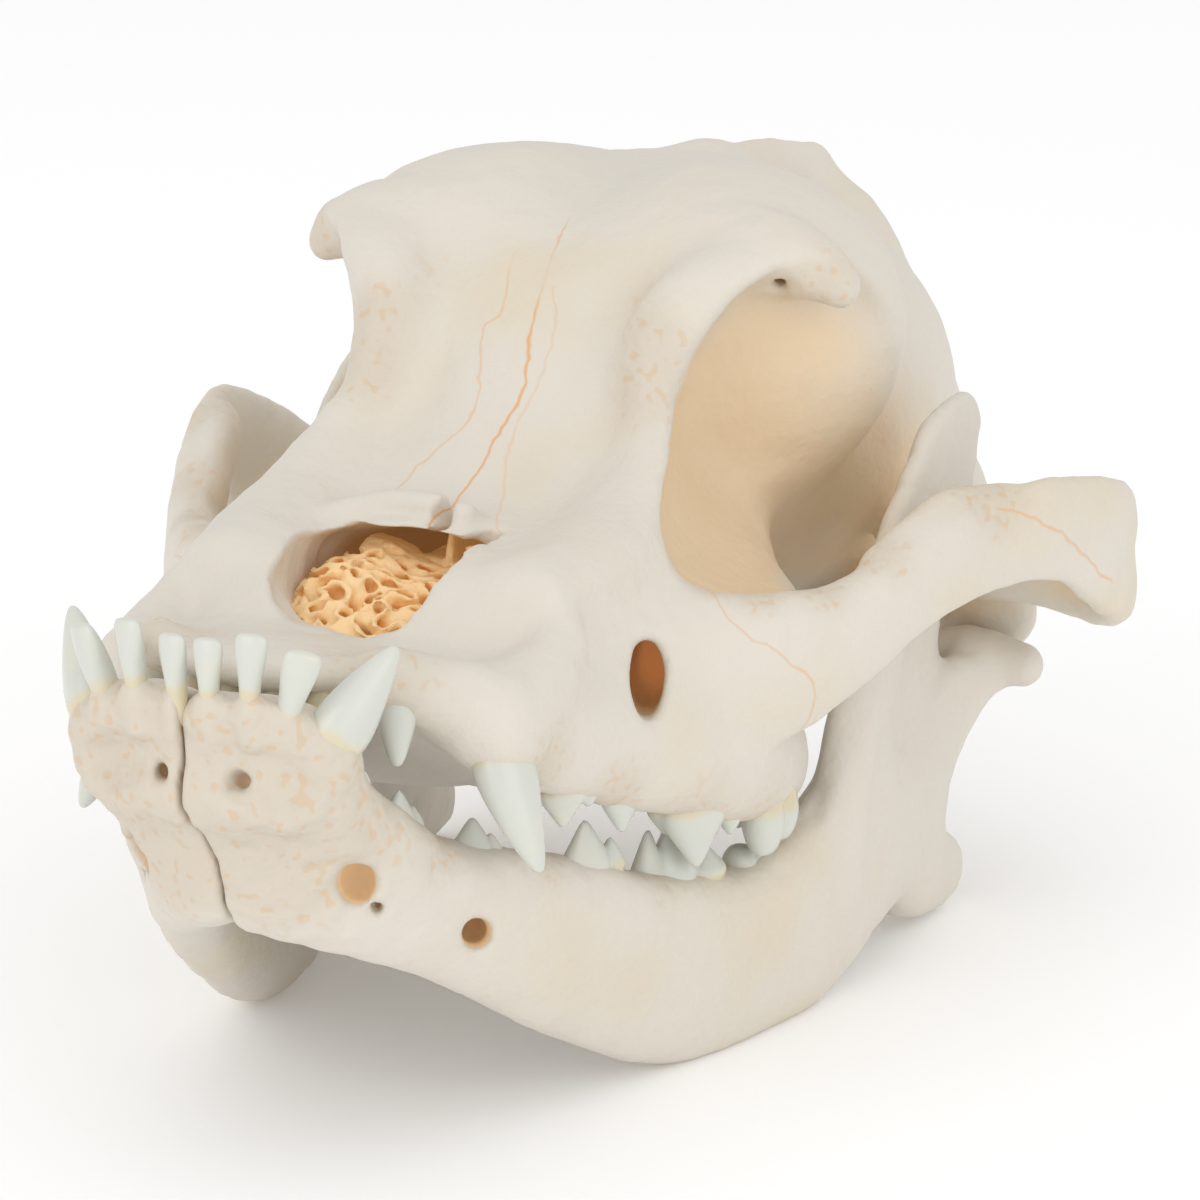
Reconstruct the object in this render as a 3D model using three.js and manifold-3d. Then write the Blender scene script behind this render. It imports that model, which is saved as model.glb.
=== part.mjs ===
// A boxer dog's skull, cleaned and standing on its lower jaw: the cranium, the two halves of the
// mandible, and every tooth in its own socket. Millimetres. The skull faces -Y, its left side is +X,
// and it rests on the jaw bodies and the angular processes at z = 0.
import * as THREE from "three";
import { mergeVertices } from "three/addons/utils/BufferGeometryUtils.js";
import Module from "manifold-3d";

const wasm = await Module();
wasm.setup();

// Driving dimensions.
const CENTRE_Y = 90.2; // from the tips of the lower incisors to the middle of the length
const SYMPHYSIS_GAP = 0.2; // half the gap between the two jaw halves
const SOCKET_GAP = 0.4; // clearance of a root in its socket
const ROOT_DEPTH = 5; // how deep the roots are seated
const SIDES = [["left", 1], ["right", -1]];

const bone = new THREE.MeshStandardMaterial({ color: 0xe9e0cf, roughness: 0.55, metalness: 0 });
const enamel = new THREE.MeshStandardMaterial({ color: 0xe6e6dc, roughness: 0.25, metalness: 0 });

// A closed geometry as a manifold-3d solid.
function solidOf(geometry) {
  const bare = geometry.clone();
  bare.deleteAttribute("normal");
  bare.deleteAttribute("uv");
  const merged = mergeVertices(bare, 1e-4);
  const made = new wasm.Manifold(
    new wasm.Mesh({
      numProp: 3,
      vertProperties: new Float32Array(merged.attributes.position.array),
      triVerts: new Uint32Array(merged.index.array),
    }),
  );
  return made;
}

// A solid back as a named three.js mesh.
function meshOf(name, solid, material) {
  const { numProp, numVert, vertProperties, triVerts } = solid.getMesh();
  const positions = new Float32Array(numVert * 3);
  for (let i = 0; i < numVert; i++) {
    positions.set(vertProperties.subarray(i * numProp, i * numProp + 3), i * 3);
  }
  const geometry = new THREE.BufferGeometry();
  geometry.setAttribute("position", new THREE.BufferAttribute(positions, 3));
  geometry.setIndex(new THREE.BufferAttribute(new Uint32Array(triVerts), 1));
  geometry.computeVertexNormals();
  const mesh = new THREE.Mesh(geometry, material);
  mesh.name = name;
  return mesh;
}

// An ellipsoid at [x, y, z] with radii [rx, ry, rz]; side -1 puts it on the right.
function ball(at, radii, side = 1, detail = 10) {
  const g = new THREE.SphereGeometry(1, detail, Math.round(detail * 0.6));
  g.rotateX(Math.PI / 2);
  g.scale(...radii);
  g.translate(at[0] * side, at[1], at[2]);
  return solidOf(g);
}

// A rounded bar through stations [x, y, z, half width, half height]. The section's height runs
// along up, and its width across the path. A cylinder's rings are laid on the curve one by one.
function bar(stations, { up = [0, 0, 1], side = 1, round = 8, steps = 1, power = 2 } = {}) {
  const centres = stations.map(([x, y, z]) => new THREE.Vector3(x * side, y, z));
  const sizes = stations.map(([, , , a, b]) => new THREE.Vector3(a, b, 0));
  const path = new THREE.CatmullRomCurve3(centres, false, "centripetal");
  const size = new THREE.CatmullRomCurve3(sizes, false, "centripetal");
  const rings = (stations.length - 1) * steps;
  const g = new THREE.CylinderGeometry(1, 1, 1, round, rings + 2);
  const position = g.attributes.position;
  const v = new THREE.Vector3();
  const upward = new THREE.Vector3(up[0] * side, up[1], up[2]);
  const span = 1 / (rings + 2);
  for (let i = 0; i < position.count; i++) {
    v.fromBufferAttribute(position, i);
    // the two extra rings at the ends draw in to round them
    const ring = Math.round((0.5 - v.y) / span);
    const k = Math.min(Math.max(ring - 1, 0), rings);
    const t = k / rings;
    const centre = path.getPoint(t);
    const along = path.getTangent(t).normalize();
    const across = new THREE.Vector3().crossVectors(along, upward).normalize();
    const rise = new THREE.Vector3().crossVectors(across, along).normalize();
    const s = size.getPoint(t);
    const capEnd = ring === 0 || ring === rings + 2;
    const shrink = capEnd ? 0.62 : 1;
    const end = (ring === 0 ? -0.5 : capEnd ? 0.5 : 0) * Math.min(s.x, s.y);
    const angle = Math.atan2(-v.z, v.x);
    const reach = Math.hypot(v.x, v.z) * shrink;
    const c = Math.cos(angle);
    const n = Math.sin(angle);
    const soft = (Math.abs(c) ** power + Math.abs(n) ** power) ** (-1 / power);
    v.copy(centre)
      .addScaledVector(across, c * soft * reach * s.x)
      .addScaledVector(rise, n * soft * reach * s.y)
      .addScaledVector(along, end);
    position.setXYZ(i, v.x, v.y, v.z);
  }
  return solidOf(g);
}

// The same form on both sides of the skull.
function both(make) {
  return make(1).add(make(-1));
}

function joined(solids) {
  return solids.reduce((a, b) => a.add(b));
}

// The teeth: name, foot [x, y, z] at the gum line, direction of the tip, direction along the jaw,
// half length and half width of the root, and the cusps. Each cusp is [place along the jaw, place
// across it, height, half length, half width]; edge is the share of the width left at the tip.
const up = [0, 0, 1];
const down = [0, 0, -1];
const TEETH = [
  // upper row
  { name: "upper_incisor_1", foot: [2.5, 15.5, 55], tip: [0, -0.2, -1], along: [1, 0.1, 0],
    root: [1.8, 1.6], cusps: [[0, 0, 5.4, 1.9, 1.4]], edge: 0.6 },
  { name: "upper_incisor_2", foot: [7.2, 16.6, 54.4], tip: [0, -0.2, -1], along: [1, 0.3, 0],
    root: [2, 1.7], cusps: [[0, 0, 5.8, 2.1, 1.6]], edge: 0.6 },
  { name: "upper_incisor_3", foot: [14.3, 20.8, 55.2], tip: [0.05, -0.1, -1], along: [1, 0.7, 0],
    root: [2.5, 2.4], cusps: [[0, 0, 8, 2.5, 2.3]], edge: 0.3 },
  { name: "upper_canine", foot: [22.6, 29, 47], tip: [0.42, -0.22, -1], along: [0.35, 1, 0],
    root: [4, 3.1], cusps: [[0, 0, 13.4, 4.1, 3.1]], edge: 0.2, bend: 1.2 },
  { name: "upper_premolar_1", foot: [22.8, 36.8, 42.4], tip: down, along: [0.3, 1, -0.3],
    root: [1.6, 1.3], cusps: [[0, 0, 3, 1.8, 1.4]], edge: 0.4 },
  { name: "upper_premolar_2", foot: [24.5, 43.4, 39.8], tip: down, along: [0.6, 1, -0.3],
    root: [3.4, 1.5], cusps: [[-0.2, 0, 5, 4.1, 1.7]], edge: 0.2 },
  { name: "upper_premolar_3", foot: [27, 53.4, 37], tip: down, along: [0.25, 1, -0.35],
    root: [3.6, 1.6], cusps: [[-0.3, 0, 5.2, 4.2, 1.8]], edge: 0.2 },
  { name: "upper_premolar_4", foot: [30.8, 66, 33], tip: [0.05, 0, -1], along: [0.32, 1, -0.35],
    root: [6.6, 2.5], cusps: [[-1.6, 0.3, 8, 5.4, 2.9], [4.6, 0, 5.6, 3.4, 2.4]], edge: 0.2 },
  { name: "upper_molar_1", foot: [31.4, 80, 28.4], tip: [0.05, 0, -1], along: [0.1, 1, -0.35],
    root: [3.4, 4], cusps: [[0.2, 2.2, 5.4, 4.4, 2.6], [0.4, -2.4, 3.2, 3.6, 3]], edge: 0.4 },
  { name: "upper_molar_2", foot: [29.4, 88.6, 26], tip: down, along: [0, 1, -0.3],
    root: [1.9, 2.6], cusps: [[0, 0, 2.4, 2.2, 3]], edge: 0.5 },
  // lower row
  { name: "lower_incisor_1", foot: [2.3, 3, 58], tip: [0.04, -0.1, 1], along: [1, 0.1, 0],
    root: [1.6, 1.6], cusps: [[0, 0, 6.2, 1.8, 1.5]], edge: 0.7, jaw: true },
  { name: "lower_incisor_2", foot: [6.7, 3.3, 58.4], tip: [0.1, -0.1, 1], along: [1, 0.2, 0],
    root: [1.8, 1.7], cusps: [[0, 0, 6.6, 2, 1.6]], edge: 0.7, jaw: true },
  { name: "lower_incisor_3", foot: [10.8, 5, 56.6], tip: [0.36, -0.14, 1], along: [1, 0.5, 0],
    root: [2, 1.9], cusps: [[0, 0, 7.2, 2.2, 1.8]], edge: 0.5, jaw: true },
  { name: "lower_canine", foot: [14.6, 9, 53.6], tip: [0.46, 0.36, 1], along: [0.6, 1, 0],
    root: [3.4, 2.9], cusps: [[0, 0, 11.6, 3.6, 2.9]], edge: 0.2, jaw: true },
  { name: "lower_premolar_1", foot: [12.9, 14.8, 44.8], tip: [0.05, 0.1, 1], along: [0.2, 1, -0.7],
    root: [1.5, 1.3], cusps: [[0, 0, 3, 1.7, 1.4]], edge: 0.4, jaw: true },
  { name: "lower_premolar_2", foot: [14.4, 21.2, 39.4], tip: [0, 0.1, 1], along: [0.25, 1, -0.7],
    root: [2.8, 1.5], cusps: [[-0.3, 0, 4.8, 3.4, 1.7]], edge: 0.2, jaw: true },
  { name: "lower_premolar_3", foot: [17.8, 32.6, 33.6], tip: [0, 0.1, 1], along: [0.3, 1, -0.5],
    root: [3.6, 1.7], cusps: [[-0.4, 0, 4.8, 4.2, 1.8]], edge: 0.2, jaw: true },
  { name: "lower_premolar_4", foot: [23.7, 50, 27.2], tip: up, along: [0.3, 1, -0.35],
    root: [4.6, 1.9], cusps: [[-0.3, 0, 6.8, 5.4, 2.1]], edge: 0.2, jaw: true },
  { name: "lower_molar_1", foot: [27.6, 66.4, 21.8], tip: up, along: [0.28, 1, -0.15],
    root: [7, 2.5], cusps: [[-2.4, 0, 8.4, 5.6, 2.7], [5, 0, 3.6, 3.4, 2.6]], edge: 0.3, jaw: true },
  { name: "lower_molar_2", foot: [30.4, 79.8, 20.4], tip: up, along: [0.2, 1, 0.05],
    root: [2.8, 2.1], cusps: [[0, 0, 2.8, 3.2, 2.3]], edge: 0.6, jaw: true },
  { name: "lower_molar_3", foot: [31.6, 86.6, 21.6], tip: up, along: [0.15, 1, 0.1],
    root: [1.5, 1.4], cusps: [[0, 0, 1.7, 1.7, 1.5]], edge: 0.6, jaw: true },
];

// The tooth's own axes on one side of the skull.
function toothAxes(tooth, side) {
  const tip = new THREE.Vector3(tooth.tip[0] * side, tooth.tip[1], tooth.tip[2]).normalize();
  const along = new THREE.Vector3(tooth.along[0] * side, tooth.along[1], tooth.along[2]);
  along.addScaledVector(tip, -along.dot(tip)).normalize();
  const across = new THREE.Vector3(side, 0, 0);
  across.addScaledVector(tip, -across.dot(tip)).addScaledVector(along, -across.dot(along)).normalize();
  if (across.lengthSq() < 0.5) across.crossVectors(tip, along).multiplyScalar(side);
  const foot = new THREE.Vector3(tooth.foot[0] * side, tooth.foot[1], tooth.foot[2]);
  return { tip, along, across, foot };
}

// A peg on the tooth's axes: heights and section shares from bottom to top.
function peg(axes, centre, halfLength, halfWidth, levels, round, bend = 0) {
  const g = new THREE.CylinderGeometry(1, 1, 1, round, levels.length - 1);
  const position = g.attributes.position;
  const v = new THREE.Vector3();
  const turn = new THREE.Vector3().crossVectors(axes.along, axes.across).dot(axes.tip) < 0 ? -1 : 1;
  for (let i = 0; i < position.count; i++) {
    v.fromBufferAttribute(position, i);
    const ring = Math.round((0.5 + v.y) * (levels.length - 1));
    const [height, share] = levels[ring];
    const sway = bend * (height > 0 ? (height / 12) ** 2 : 0);
    const l = centre[0] + v.x * halfLength * share + sway;
    const w = centre[1] - v.z * turn * halfWidth * share;
    v.copy(axes.foot)
      .addScaledVector(axes.along, l)
      .addScaledVector(axes.across, w)
      .addScaledVector(axes.tip, height);
    position.setXYZ(i, v.x, v.y, v.z);
  }
  return solidOf(g);
}

function crownLevels(height, edge) {
  return [[height * 0.2, 1], [height * 0.65, edge + (1 - edge) * 0.5], [height, edge]];
}

// One-cusped teeth are a single peg; the others are a root peg joined to a peg for each cusp.
function toothSolid(tooth, side) {
  const axes = toothAxes(tooth, side);
  const single = tooth.cusps.length === 1;
  const sides = tooth.name.endsWith("canine") ? 7 : 5;
  const foot = single ? [-ROOT_DEPTH, 0.7] : [-1.2, 0.9];
  const crown = tooth.cusps.map(([l, w, h, hl, hw]) =>
    peg(axes, [l, w], hl, hw, [foot, ...crownLevels(h, tooth.edge)], sides, tooth.bend ?? 0),
  );
  if (single) return crown[0];
  const [l, w] = tooth.root;
  return joined([peg(axes, [0, 0], l, w, [[-ROOT_DEPTH, 0.72], [0, 0.94]], sides), ...crown]);
}

// The socket is a plain pocket, a clearance wider than the widest part of the tooth.
function socket(tooth, side) {
  const { tip, along, across, foot } = toothAxes(tooth, side);
  const halfLength = Math.max(...tooth.cusps.map(([l, , , hl]) => Math.abs(l) + hl)) + SOCKET_GAP;
  const halfWidth = Math.max(...tooth.cusps.map(([, w, , , hw]) => Math.abs(w) + hw)) + SOCKET_GAP;
  const bottom = -ROOT_DEPTH - SOCKET_GAP;
  const top = 7;
  const g = new THREE.BoxGeometry(2 * halfLength, 2 * halfWidth, top - bottom);
  g.translate(0, 0, (top + bottom) / 2);
  const basis = new THREE.Matrix4();
  const turn = new THREE.Vector3().crossVectors(along, across).dot(tip) < 0 ? -1 : 1;
  basis.makeBasis(along, across.clone().multiplyScalar(turn), tip).setPosition(foot);
  return solidOf(g.applyMatrix4(basis));
}

// The cranium: the braincase, the forehead, the broad short face, the arches and the base.
function cranium() {
  const braincase = [
    ball([0, 142, 62.5], [29.5, 37, 27.5], 1, 12),
    ball([0, 158, 54], [25.5, 17, 24], 1, 10),
    bar([[0, 134, 89.5, 3, 4], [0, 150, 89.4, 2, 3.4], [0, 164, 87, 2.4, 3.6], [0, 175, 83.6, 3.6, 5]],
      { round: 6 }),
    bar([[-29, 160, 42, 3, 5], [-22.5, 166, 57, 3, 5], [-14, 170.5, 72, 3, 5], [-6, 174.4, 80, 4, 5.6],
      [6, 174.4, 80, 4, 5.6], [14, 170.5, 72, 3, 5], [22.5, 166, 57, 3, 5], [29, 160, 42, 3, 5]],
      { up: [0, 1, 0], round: 6 }),
    bar([[0, 150, 72, 10, 12], [0, 164, 68, 12, 12], [0, 173, 70, 6, 9]], { round: 6 }),
    bar([[0, 84, 44, 12, 12], [0, 110, 48, 14, 13], [0, 140, 44, 17, 10], [0, 166, 42, 16, 9]]),
    bar([[0, 88, 56, 24, 17], [0, 104, 57, 22, 17], [0, 120, 59, 24, 19], [0, 132, 60, 26, 20]],
      { round: 10 }),
  ];
  const forehead = [
    both((s) => ball([17.2, 111, 79.4], [21.4, 22, 18], s, 10)),
    ball([0, 122, 76.2], [24, 28, 20.5], 1, 10),
    bar([[0, 110, 76, 18, 14], [0, 98, 73, 21, 15.5], [0, 90, 64.5, 22, 15], [0, 82, 57, 24, 13.5]],
      { round: 10 }),
    both((s) => bar([[21, 76, 64, 4.5, 5], [17.5, 81.5, 72, 4, 5], [17.5, 85.5, 80, 4, 5.4],
      [21, 90, 86, 4.6, 4.6], [27, 97, 88, 4.5, 4]], { side: s, round: 6 })),
  ];
  const face = [
    bar([
      [0, 14.5, 57, 9, 2.2], [0, 18, 56, 14.5, 3.2], [0, 24, 53.8, 18, 4.4], [0, 32, 51, 22, 6.2],
      [0, 40, 49.4, 24, 9.2], [0, 47, 50, 25.5, 13.8], [0, 56, 49.4, 28, 14.6], [0, 66, 48.4, 32, 17],
      [0, 76, 47.5, 35.5, 20.2], [0, 86, 48, 34, 21], [0, 94, 54, 27, 18],
    ], { round: 10, power: 2.5 }),
    both((s) => bar([[14.8, 19.5, 56, 2.8, 2.8], [21.5, 28.8, 51.4, 4.6, 4.8], [23.4, 38, 46.6, 3.6, 5.6],
      [26, 50, 43, 3.8, 7], [30.2, 62, 39.4, 4.6, 7.6], [32.2, 74, 35, 4.8, 7], [31, 88, 31.6, 4, 6]],
      { side: s, round: 6 })),
  ];
  let body = joined([...braincase, ...forehead, ...face]);
  // the orbits, open to the side and behind into the temporal fossae
  body = body.subtract(both((s) => ball([40, 97, 73.5], [22.6, 23.5, 18.6], s, 12)));
  body = body.subtract(both((s) => ball([38.5, 88.5, 66.5], [19, 21.4, 13.4], s, 8)));
  body = body.subtract(both((s) => ball([44, 108, 50], [20, 19, 28], s, 8)));
  const processes = [
    both((s) => bar([[17, 98, 88.6, 4, 5.6], [26, 97.5, 88.4, 3.4, 4.4], [33, 98, 86.8, 2, 2.2]],
      { side: s, round: 6 })),
    both((s) => bar([
      [27, 65, 46, 6, 9.6], [36, 72, 47.2, 5, 9], [42.1, 80.6, 49.6, 3.8, 6.4],
      [47.1, 90, 53.8, 3, 5.4], [52.4, 103, 56.6, 2.6, 5.8], [57.5, 116, 55.9, 2.5, 6.6],
      [59.8, 126, 51, 2.7, 8.4], [54.6, 133.5, 46.4, 3.4, 7], [45, 137, 45.5, 5, 5],
      [31, 139, 46, 7, 7],
    ], { side: s, power: 2.4 })),
    both((s) => bar([[44, 88, 55.8, 2.2, 3], [47.6, 98, 60, 2.4, 3.2], [51.6, 105.6, 59.8, 2.3, 3]],
      { side: s, round: 6 })),
    both((s) => ball([38, 142, 37.5], [7, 2.8, 6.5], s, 6)),
    both((s) => ball([18, 150, 34], [9, 12.5, 9.5], s, 7)),
    both((s) => bar([[24.5, 163, 46, 5, 6], [24.5, 165.5, 34, 4, 4.5], [24.5, 166.5, 25, 2.2, 2.6]],
      { side: s, up: [0, 1, 0], round: 6 })),
    both((s) => ball([11, 174, 38], [6, 6.5, 8], s, 6)),
    both((s) => bar([[12, 84, 38, 3, 10], [11.5, 98, 38, 2.6, 11], [11, 112, 36, 2.4, 8]],
      { side: s, round: 6 })),
  ];
  body = joined([body, ...processes]);
  // the nose opening, the foramina of the face, the choanae and the foramen magnum
  const hollows = [
    bar([[0, 30, 66, 13.6, 8.8], [0, 41, 61, 14, 7.9], [0, 52, 57.6, 13.4, 7.9], [0, 66, 54, 11, 7.4]],
      { round: 10, power: 2.6 }),
    both((s) => bar([[31, 49, 50.8, 2, 4.4], [26, 60, 48.5, 2, 4]], { side: s, round: 6 })),
    bar([[0, 190, 47, 8.4, 7.6], [0, 163, 50, 7, 6]], { round: 8 }),
    bar([[0, 92, 34, 8, 7], [0, 122, 31, 8, 6]], { round: 6 }),
  ];
  body = body.subtract(joined(hollows));
  const sockets = TEETH.filter((t) => !t.jaw).flatMap((t) => SIDES.map(([, s]) => socket(t, s)));
  return sockets.reduce((left, hole) => left.subtract(hole), body);
}

// One half of the mandible: body, ramus with its coronoid process, condyle and angle.
function mandible(side) {
  const plate = { side, up: [0, 1, 0], power: 2.6, round: 6 };
  const tilted = { side, up: [0, -0.3, 1], power: 2.6 };
  let half = joined([
    bar([[-4, 6, 50.6, 4.8, 8], [3, 5.6, 51.2, 5, 8.2], [9.4, 7.4, 50.6, 5, 7.6],
      [12.8, 9.6, 49.6, 4.4, 5.8], [12.6, 14, 43, 4, 4.6], [14.4, 20.5, 38, 3.8, 4.4]],
      { side, power: 2.4 }),
    bar([
      [-4, 10.6, 40, 4.4, 10], [2.4, 11, 39.8, 4.6, 10], [7.2, 14, 37.4, 4.8, 9.4],
      [11.8, 21, 32.6, 4.8, 7.8], [16.4, 31, 27.6, 4.8, 8], [20.2, 42, 22.2, 5, 9.4],
      [23.8, 54, 16.4, 5, 10.4], [27, 66, 11.8, 5, 11.4], [30, 78, 9.8, 4.9, 11.4],
      [33, 90, 11.4, 4.6, 12], [34.6, 102, 14.8, 4, 11.6], [35, 114, 16.4, 3.5, 10.6],
      [35.4, 126, 13, 3.2, 9.6],
    ], tilted),
    bar([[33.8, 110, 14, 3.2, 15], [35.4, 111, 28, 2.8, 17.4], [36.6, 112.5, 42, 2.4, 15],
      [37.8, 118, 54.4, 2.2, 12], [38.2, 125, 61.8, 2, 8.4], [38.4, 128.5, 65.6, 1.7, 4]], plate),
    bar([[31.5, 134.5, 32.6, 2.6, 2.8], [38, 135.5, 33, 3.8, 4], [45, 136, 32.4, 2.8, 3.2]], plate),
    bar([[36, 118, 20, 3, 10], [38, 127, 27, 3, 8], [39, 133, 31, 3.6, 4.4]], plate),
    bar([[35, 122, 8.5, 3, 6.4], [35.4, 130, 5, 3, 5.6], [35.6, 134.4, 4.4, 2.8, 4.8]],
      { side, round: 6, power: 2.6 }),
  ]);
  // the mental foramina
  half = half.subtract(bar([[15.5, 8, 37.4, 2, 2], [11, 18, 34.6, 1.8, 1.8]], { side, round: 6 }));
  half = half.subtract(bar([[23.4, 22, 28.4, 1.8, 1.8], [17, 34, 25, 1.5, 1.5]], { side, round: 6 }));
  for (const tooth of TEETH.filter((t) => t.jaw)) half = half.subtract(socket(tooth, side));
  const wide = 200;
  const across = new THREE.BoxGeometry(wide, 300, wide);
  across.translate((SYMPHYSIS_GAP - wide / 2) * side, 80, 40);
  return half.subtract(solidOf(across));
}

// What lies below the table is worn away, so the jaw rests on small flats.
const far = 400;
const below = solidOf(new THREE.BoxGeometry(far, far, far).translate(0, 0, -far / 2));

const skull = new THREE.Group();
skull.position.set(0, -CENTRE_Y, 0);
skull.add(meshOf("cranium", cranium(), bone));
for (const [word, s] of SIDES) {
  skull.add(meshOf("mandible_" + word, mandible(s).subtract(below), bone));
  for (const tooth of TEETH) skull.add(meshOf(tooth.name + "_" + word, toothSolid(tooth, s), enamel));
}

const group = new THREE.Group();
group.add(skull);
export default group;
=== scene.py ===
# %% [markdown]
# The skull of a boxer dog, cleaned and dry, standing on its lower jaw.
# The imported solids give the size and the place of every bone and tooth. This lesson keeps them
# as the frame and lays a finer surface over each one: blended bone, sutures, pores and enamel.

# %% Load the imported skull
import math
import time
import bmesh
import bpy
import numpy as np
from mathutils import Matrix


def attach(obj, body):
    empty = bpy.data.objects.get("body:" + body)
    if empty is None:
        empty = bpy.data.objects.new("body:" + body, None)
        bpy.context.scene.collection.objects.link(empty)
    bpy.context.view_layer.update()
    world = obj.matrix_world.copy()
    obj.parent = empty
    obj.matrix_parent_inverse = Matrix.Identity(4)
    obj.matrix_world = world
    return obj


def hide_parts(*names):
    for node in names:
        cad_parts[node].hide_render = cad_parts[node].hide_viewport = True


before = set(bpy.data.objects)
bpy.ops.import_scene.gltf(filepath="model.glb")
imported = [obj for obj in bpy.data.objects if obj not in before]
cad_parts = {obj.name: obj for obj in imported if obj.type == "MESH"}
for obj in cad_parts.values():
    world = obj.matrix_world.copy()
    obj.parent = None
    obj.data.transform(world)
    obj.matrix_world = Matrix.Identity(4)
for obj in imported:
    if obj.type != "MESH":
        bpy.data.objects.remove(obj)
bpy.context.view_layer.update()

import openvdb
from mathutils import Matrix, Vector

started = time.time()


def note(words, clay=None):
    """Print how far the work is and, for a block of clay, how much bone it holds."""
    if clay is not None:
        words += f": {(clay.depth < 0).sum() * clay.step**3 / 1000:.1f} cubic centimetres"
    print(words, "at", round(time.time() - started, 1), "s")


# %% [markdown]
# Bone has no corners. Every ridge flows into the next one, and every hole has a soft lip.
# Extruded and bevelled meshes could give the big forms, but the place where an arch grows out of
# a cheek, or where an orbit is scooped out of a brow, would need hundreds of hand-placed faces.
# So the bone is worked like clay: a block of space stores how deep each point lies under the
# surface, forms are pressed together or scooped out with a soft blend, and the surface is then
# taken off the block as a mesh.

# %% A block of clay
FAR = 12.0
MIDDLE_Y = 90.2


def soft_min(first, second, blend):
    """The smaller of two depths, with the crease between them rounded over `blend` millimetres."""
    if blend <= 0:
        return np.minimum(first, second)
    nearness = np.maximum(blend - np.abs(first - second), 0) / blend
    return np.minimum(first, second) - nearness * nearness * blend * 0.25


class Clay:
    """A block of space, in millimetres, that knows how deep each of its points lies in the bone."""

    def __init__(self, low, high, step):
        self.step = step
        self.low = np.array(low, float)
        counts = np.ceil((np.array(high) - self.low) / step).astype(int) + 1
        self.axes = [(self.low[i] + step * np.arange(counts[i])).astype(np.float32) for i in range(3)]
        self.depth = np.full(counts, FAR, np.float32)

    def near(self, form, blend):
        reach = max(blend, 2.0) + 2.5 * self.step
        window = tuple(
            slice(*np.searchsorted(axis, (form["low"][i] - reach, form["high"][i] + reach)))
            for i, axis in enumerate(self.axes)
        )
        near_axes = [axis[w] for axis, w in zip(self.axes, window)]
        return window, form["depth"](near_axes, reach)

    def add(self, *forms, blend=2.0):
        for form in forms:
            window, depth = self.near(form, blend)
            self.depth[window] = soft_min(self.depth[window], depth, blend)
        return self

    def cut(self, *forms, blend=1.0):
        for form in forms:
            window, depth = self.near(form, blend)
            self.depth[window] = -soft_min(-self.depth[window], depth, blend)
        return self


def melted(melt, *forms):
    """Several forms run together into one, so that a hollow cut with it has no ridges inside."""

    def depth(axes, reach):
        whole = forms[0]["depth"](axes, reach + melt)
        for form in forms[1:]:
            whole = soft_min(whole, form["depth"](axes, reach + melt), melt)
        return whole

    low = np.min([form["low"] for form in forms], 0) - melt * 0.25
    high = np.max([form["high"] for form in forms], 0) + melt * 0.25
    return {"low": low, "high": high, "depth": depth}


# %% [markdown]
# Old bone is never quite even. A soft random field moves its surface by a few tenths of a
# millimetre, in wide swellings and in small grain. A displacement texture on a finished mesh could
# do it too, but in the clay the field can also tear an edge. The seeds are fixed, so each run
# gives the same bone.

# %% Uneven bone
def swellings(axes, size, seed):
    """Smooth random hills about `size` millimetres across, between -1 and 1."""
    weights = []
    for axis in axes:
        place = (axis - axis[0]) / size
        cell = np.floor(place).astype(int)
        part = place - cell
        part = part * part * (3 - 2 * part)
        table = np.zeros((len(axis), cell.max() + 2), np.float32)
        rows = np.arange(len(axis))
        table[rows, cell] = 1 - part
        table[rows, cell + 1] = part
        weights.append(table)
    hills = np.random.default_rng(seed).uniform(-1, 1, [w.shape[1] for w in weights]).astype(np.float32)
    field = np.tensordot(weights[0], hills, (1, 0))
    field = np.einsum("bj,ajk->abk", weights[1], field)
    return np.einsum("ck,abk->abc", weights[2], field)


def soften(field, passes=1):
    """Average each point with its neighbours, which takes off the last hard edges."""
    for _ in range(passes):
        for axis in range(3):
            before = np.roll(field, 1, axis)
            after = np.roll(field, -1, axis)
            field = field * 0.5 + (before + after) * 0.25
    return field


# %% [markdown]
# Two forms are enough for a skull. A ball stretched along its axes makes a swelling or a hollow.
# A limb runs along a smooth line, and its section changes from station to station: half a width
# and half a height, oval or squarish. Arches, ridges, jaws and canals are all limbs. A station is
# written as x, y, z, half width, half height, in millimetres: x to the left of the middle, y back
# from the lower incisors, z up from the table.

# %% Ball and limb
def across(axes, direction):
    """How far each point of a block lies along a direction."""
    x, y, z = [axis * part for axis, part in zip(axes, direction)]
    return x[:, None, None] + y[None, :, None] + z[None, None, :]


def oval_depth(parts, radii, power=2.0):
    """Distance to a stretched ball or squarish tube, from offsets already divided by its radii."""
    if power == 2.0:
        level = np.sqrt(sum(p * p for p in parts))
    else:
        level = (np.abs(parts[0]) ** power + np.abs(parts[1]) ** power) ** (2 / power)
        level = np.sqrt(level + (parts[2] * parts[2] if len(parts) > 2 else 0))
    slope = np.sqrt(sum((p / r) ** 2 for p, r in zip(parts, radii)))
    return (level - 1) * np.maximum(level, 0.25) / np.maximum(slope, 1e-3)


def ball(centre, radii):
    """A ball stretched along the three axes."""
    centre, radii = np.array(centre, float), np.array(radii, float)

    def depth(axes, reach):
        x, y, z = [((axis - c) / r) for axis, c, r in zip(axes, centre, radii)]
        parts = [x[:, None, None], y[None, :, None], z[None, None, :]]
        return oval_depth(parts, radii).astype(np.float32)

    return {"low": centre - radii, "high": centre + radii, "depth": depth}


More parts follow.
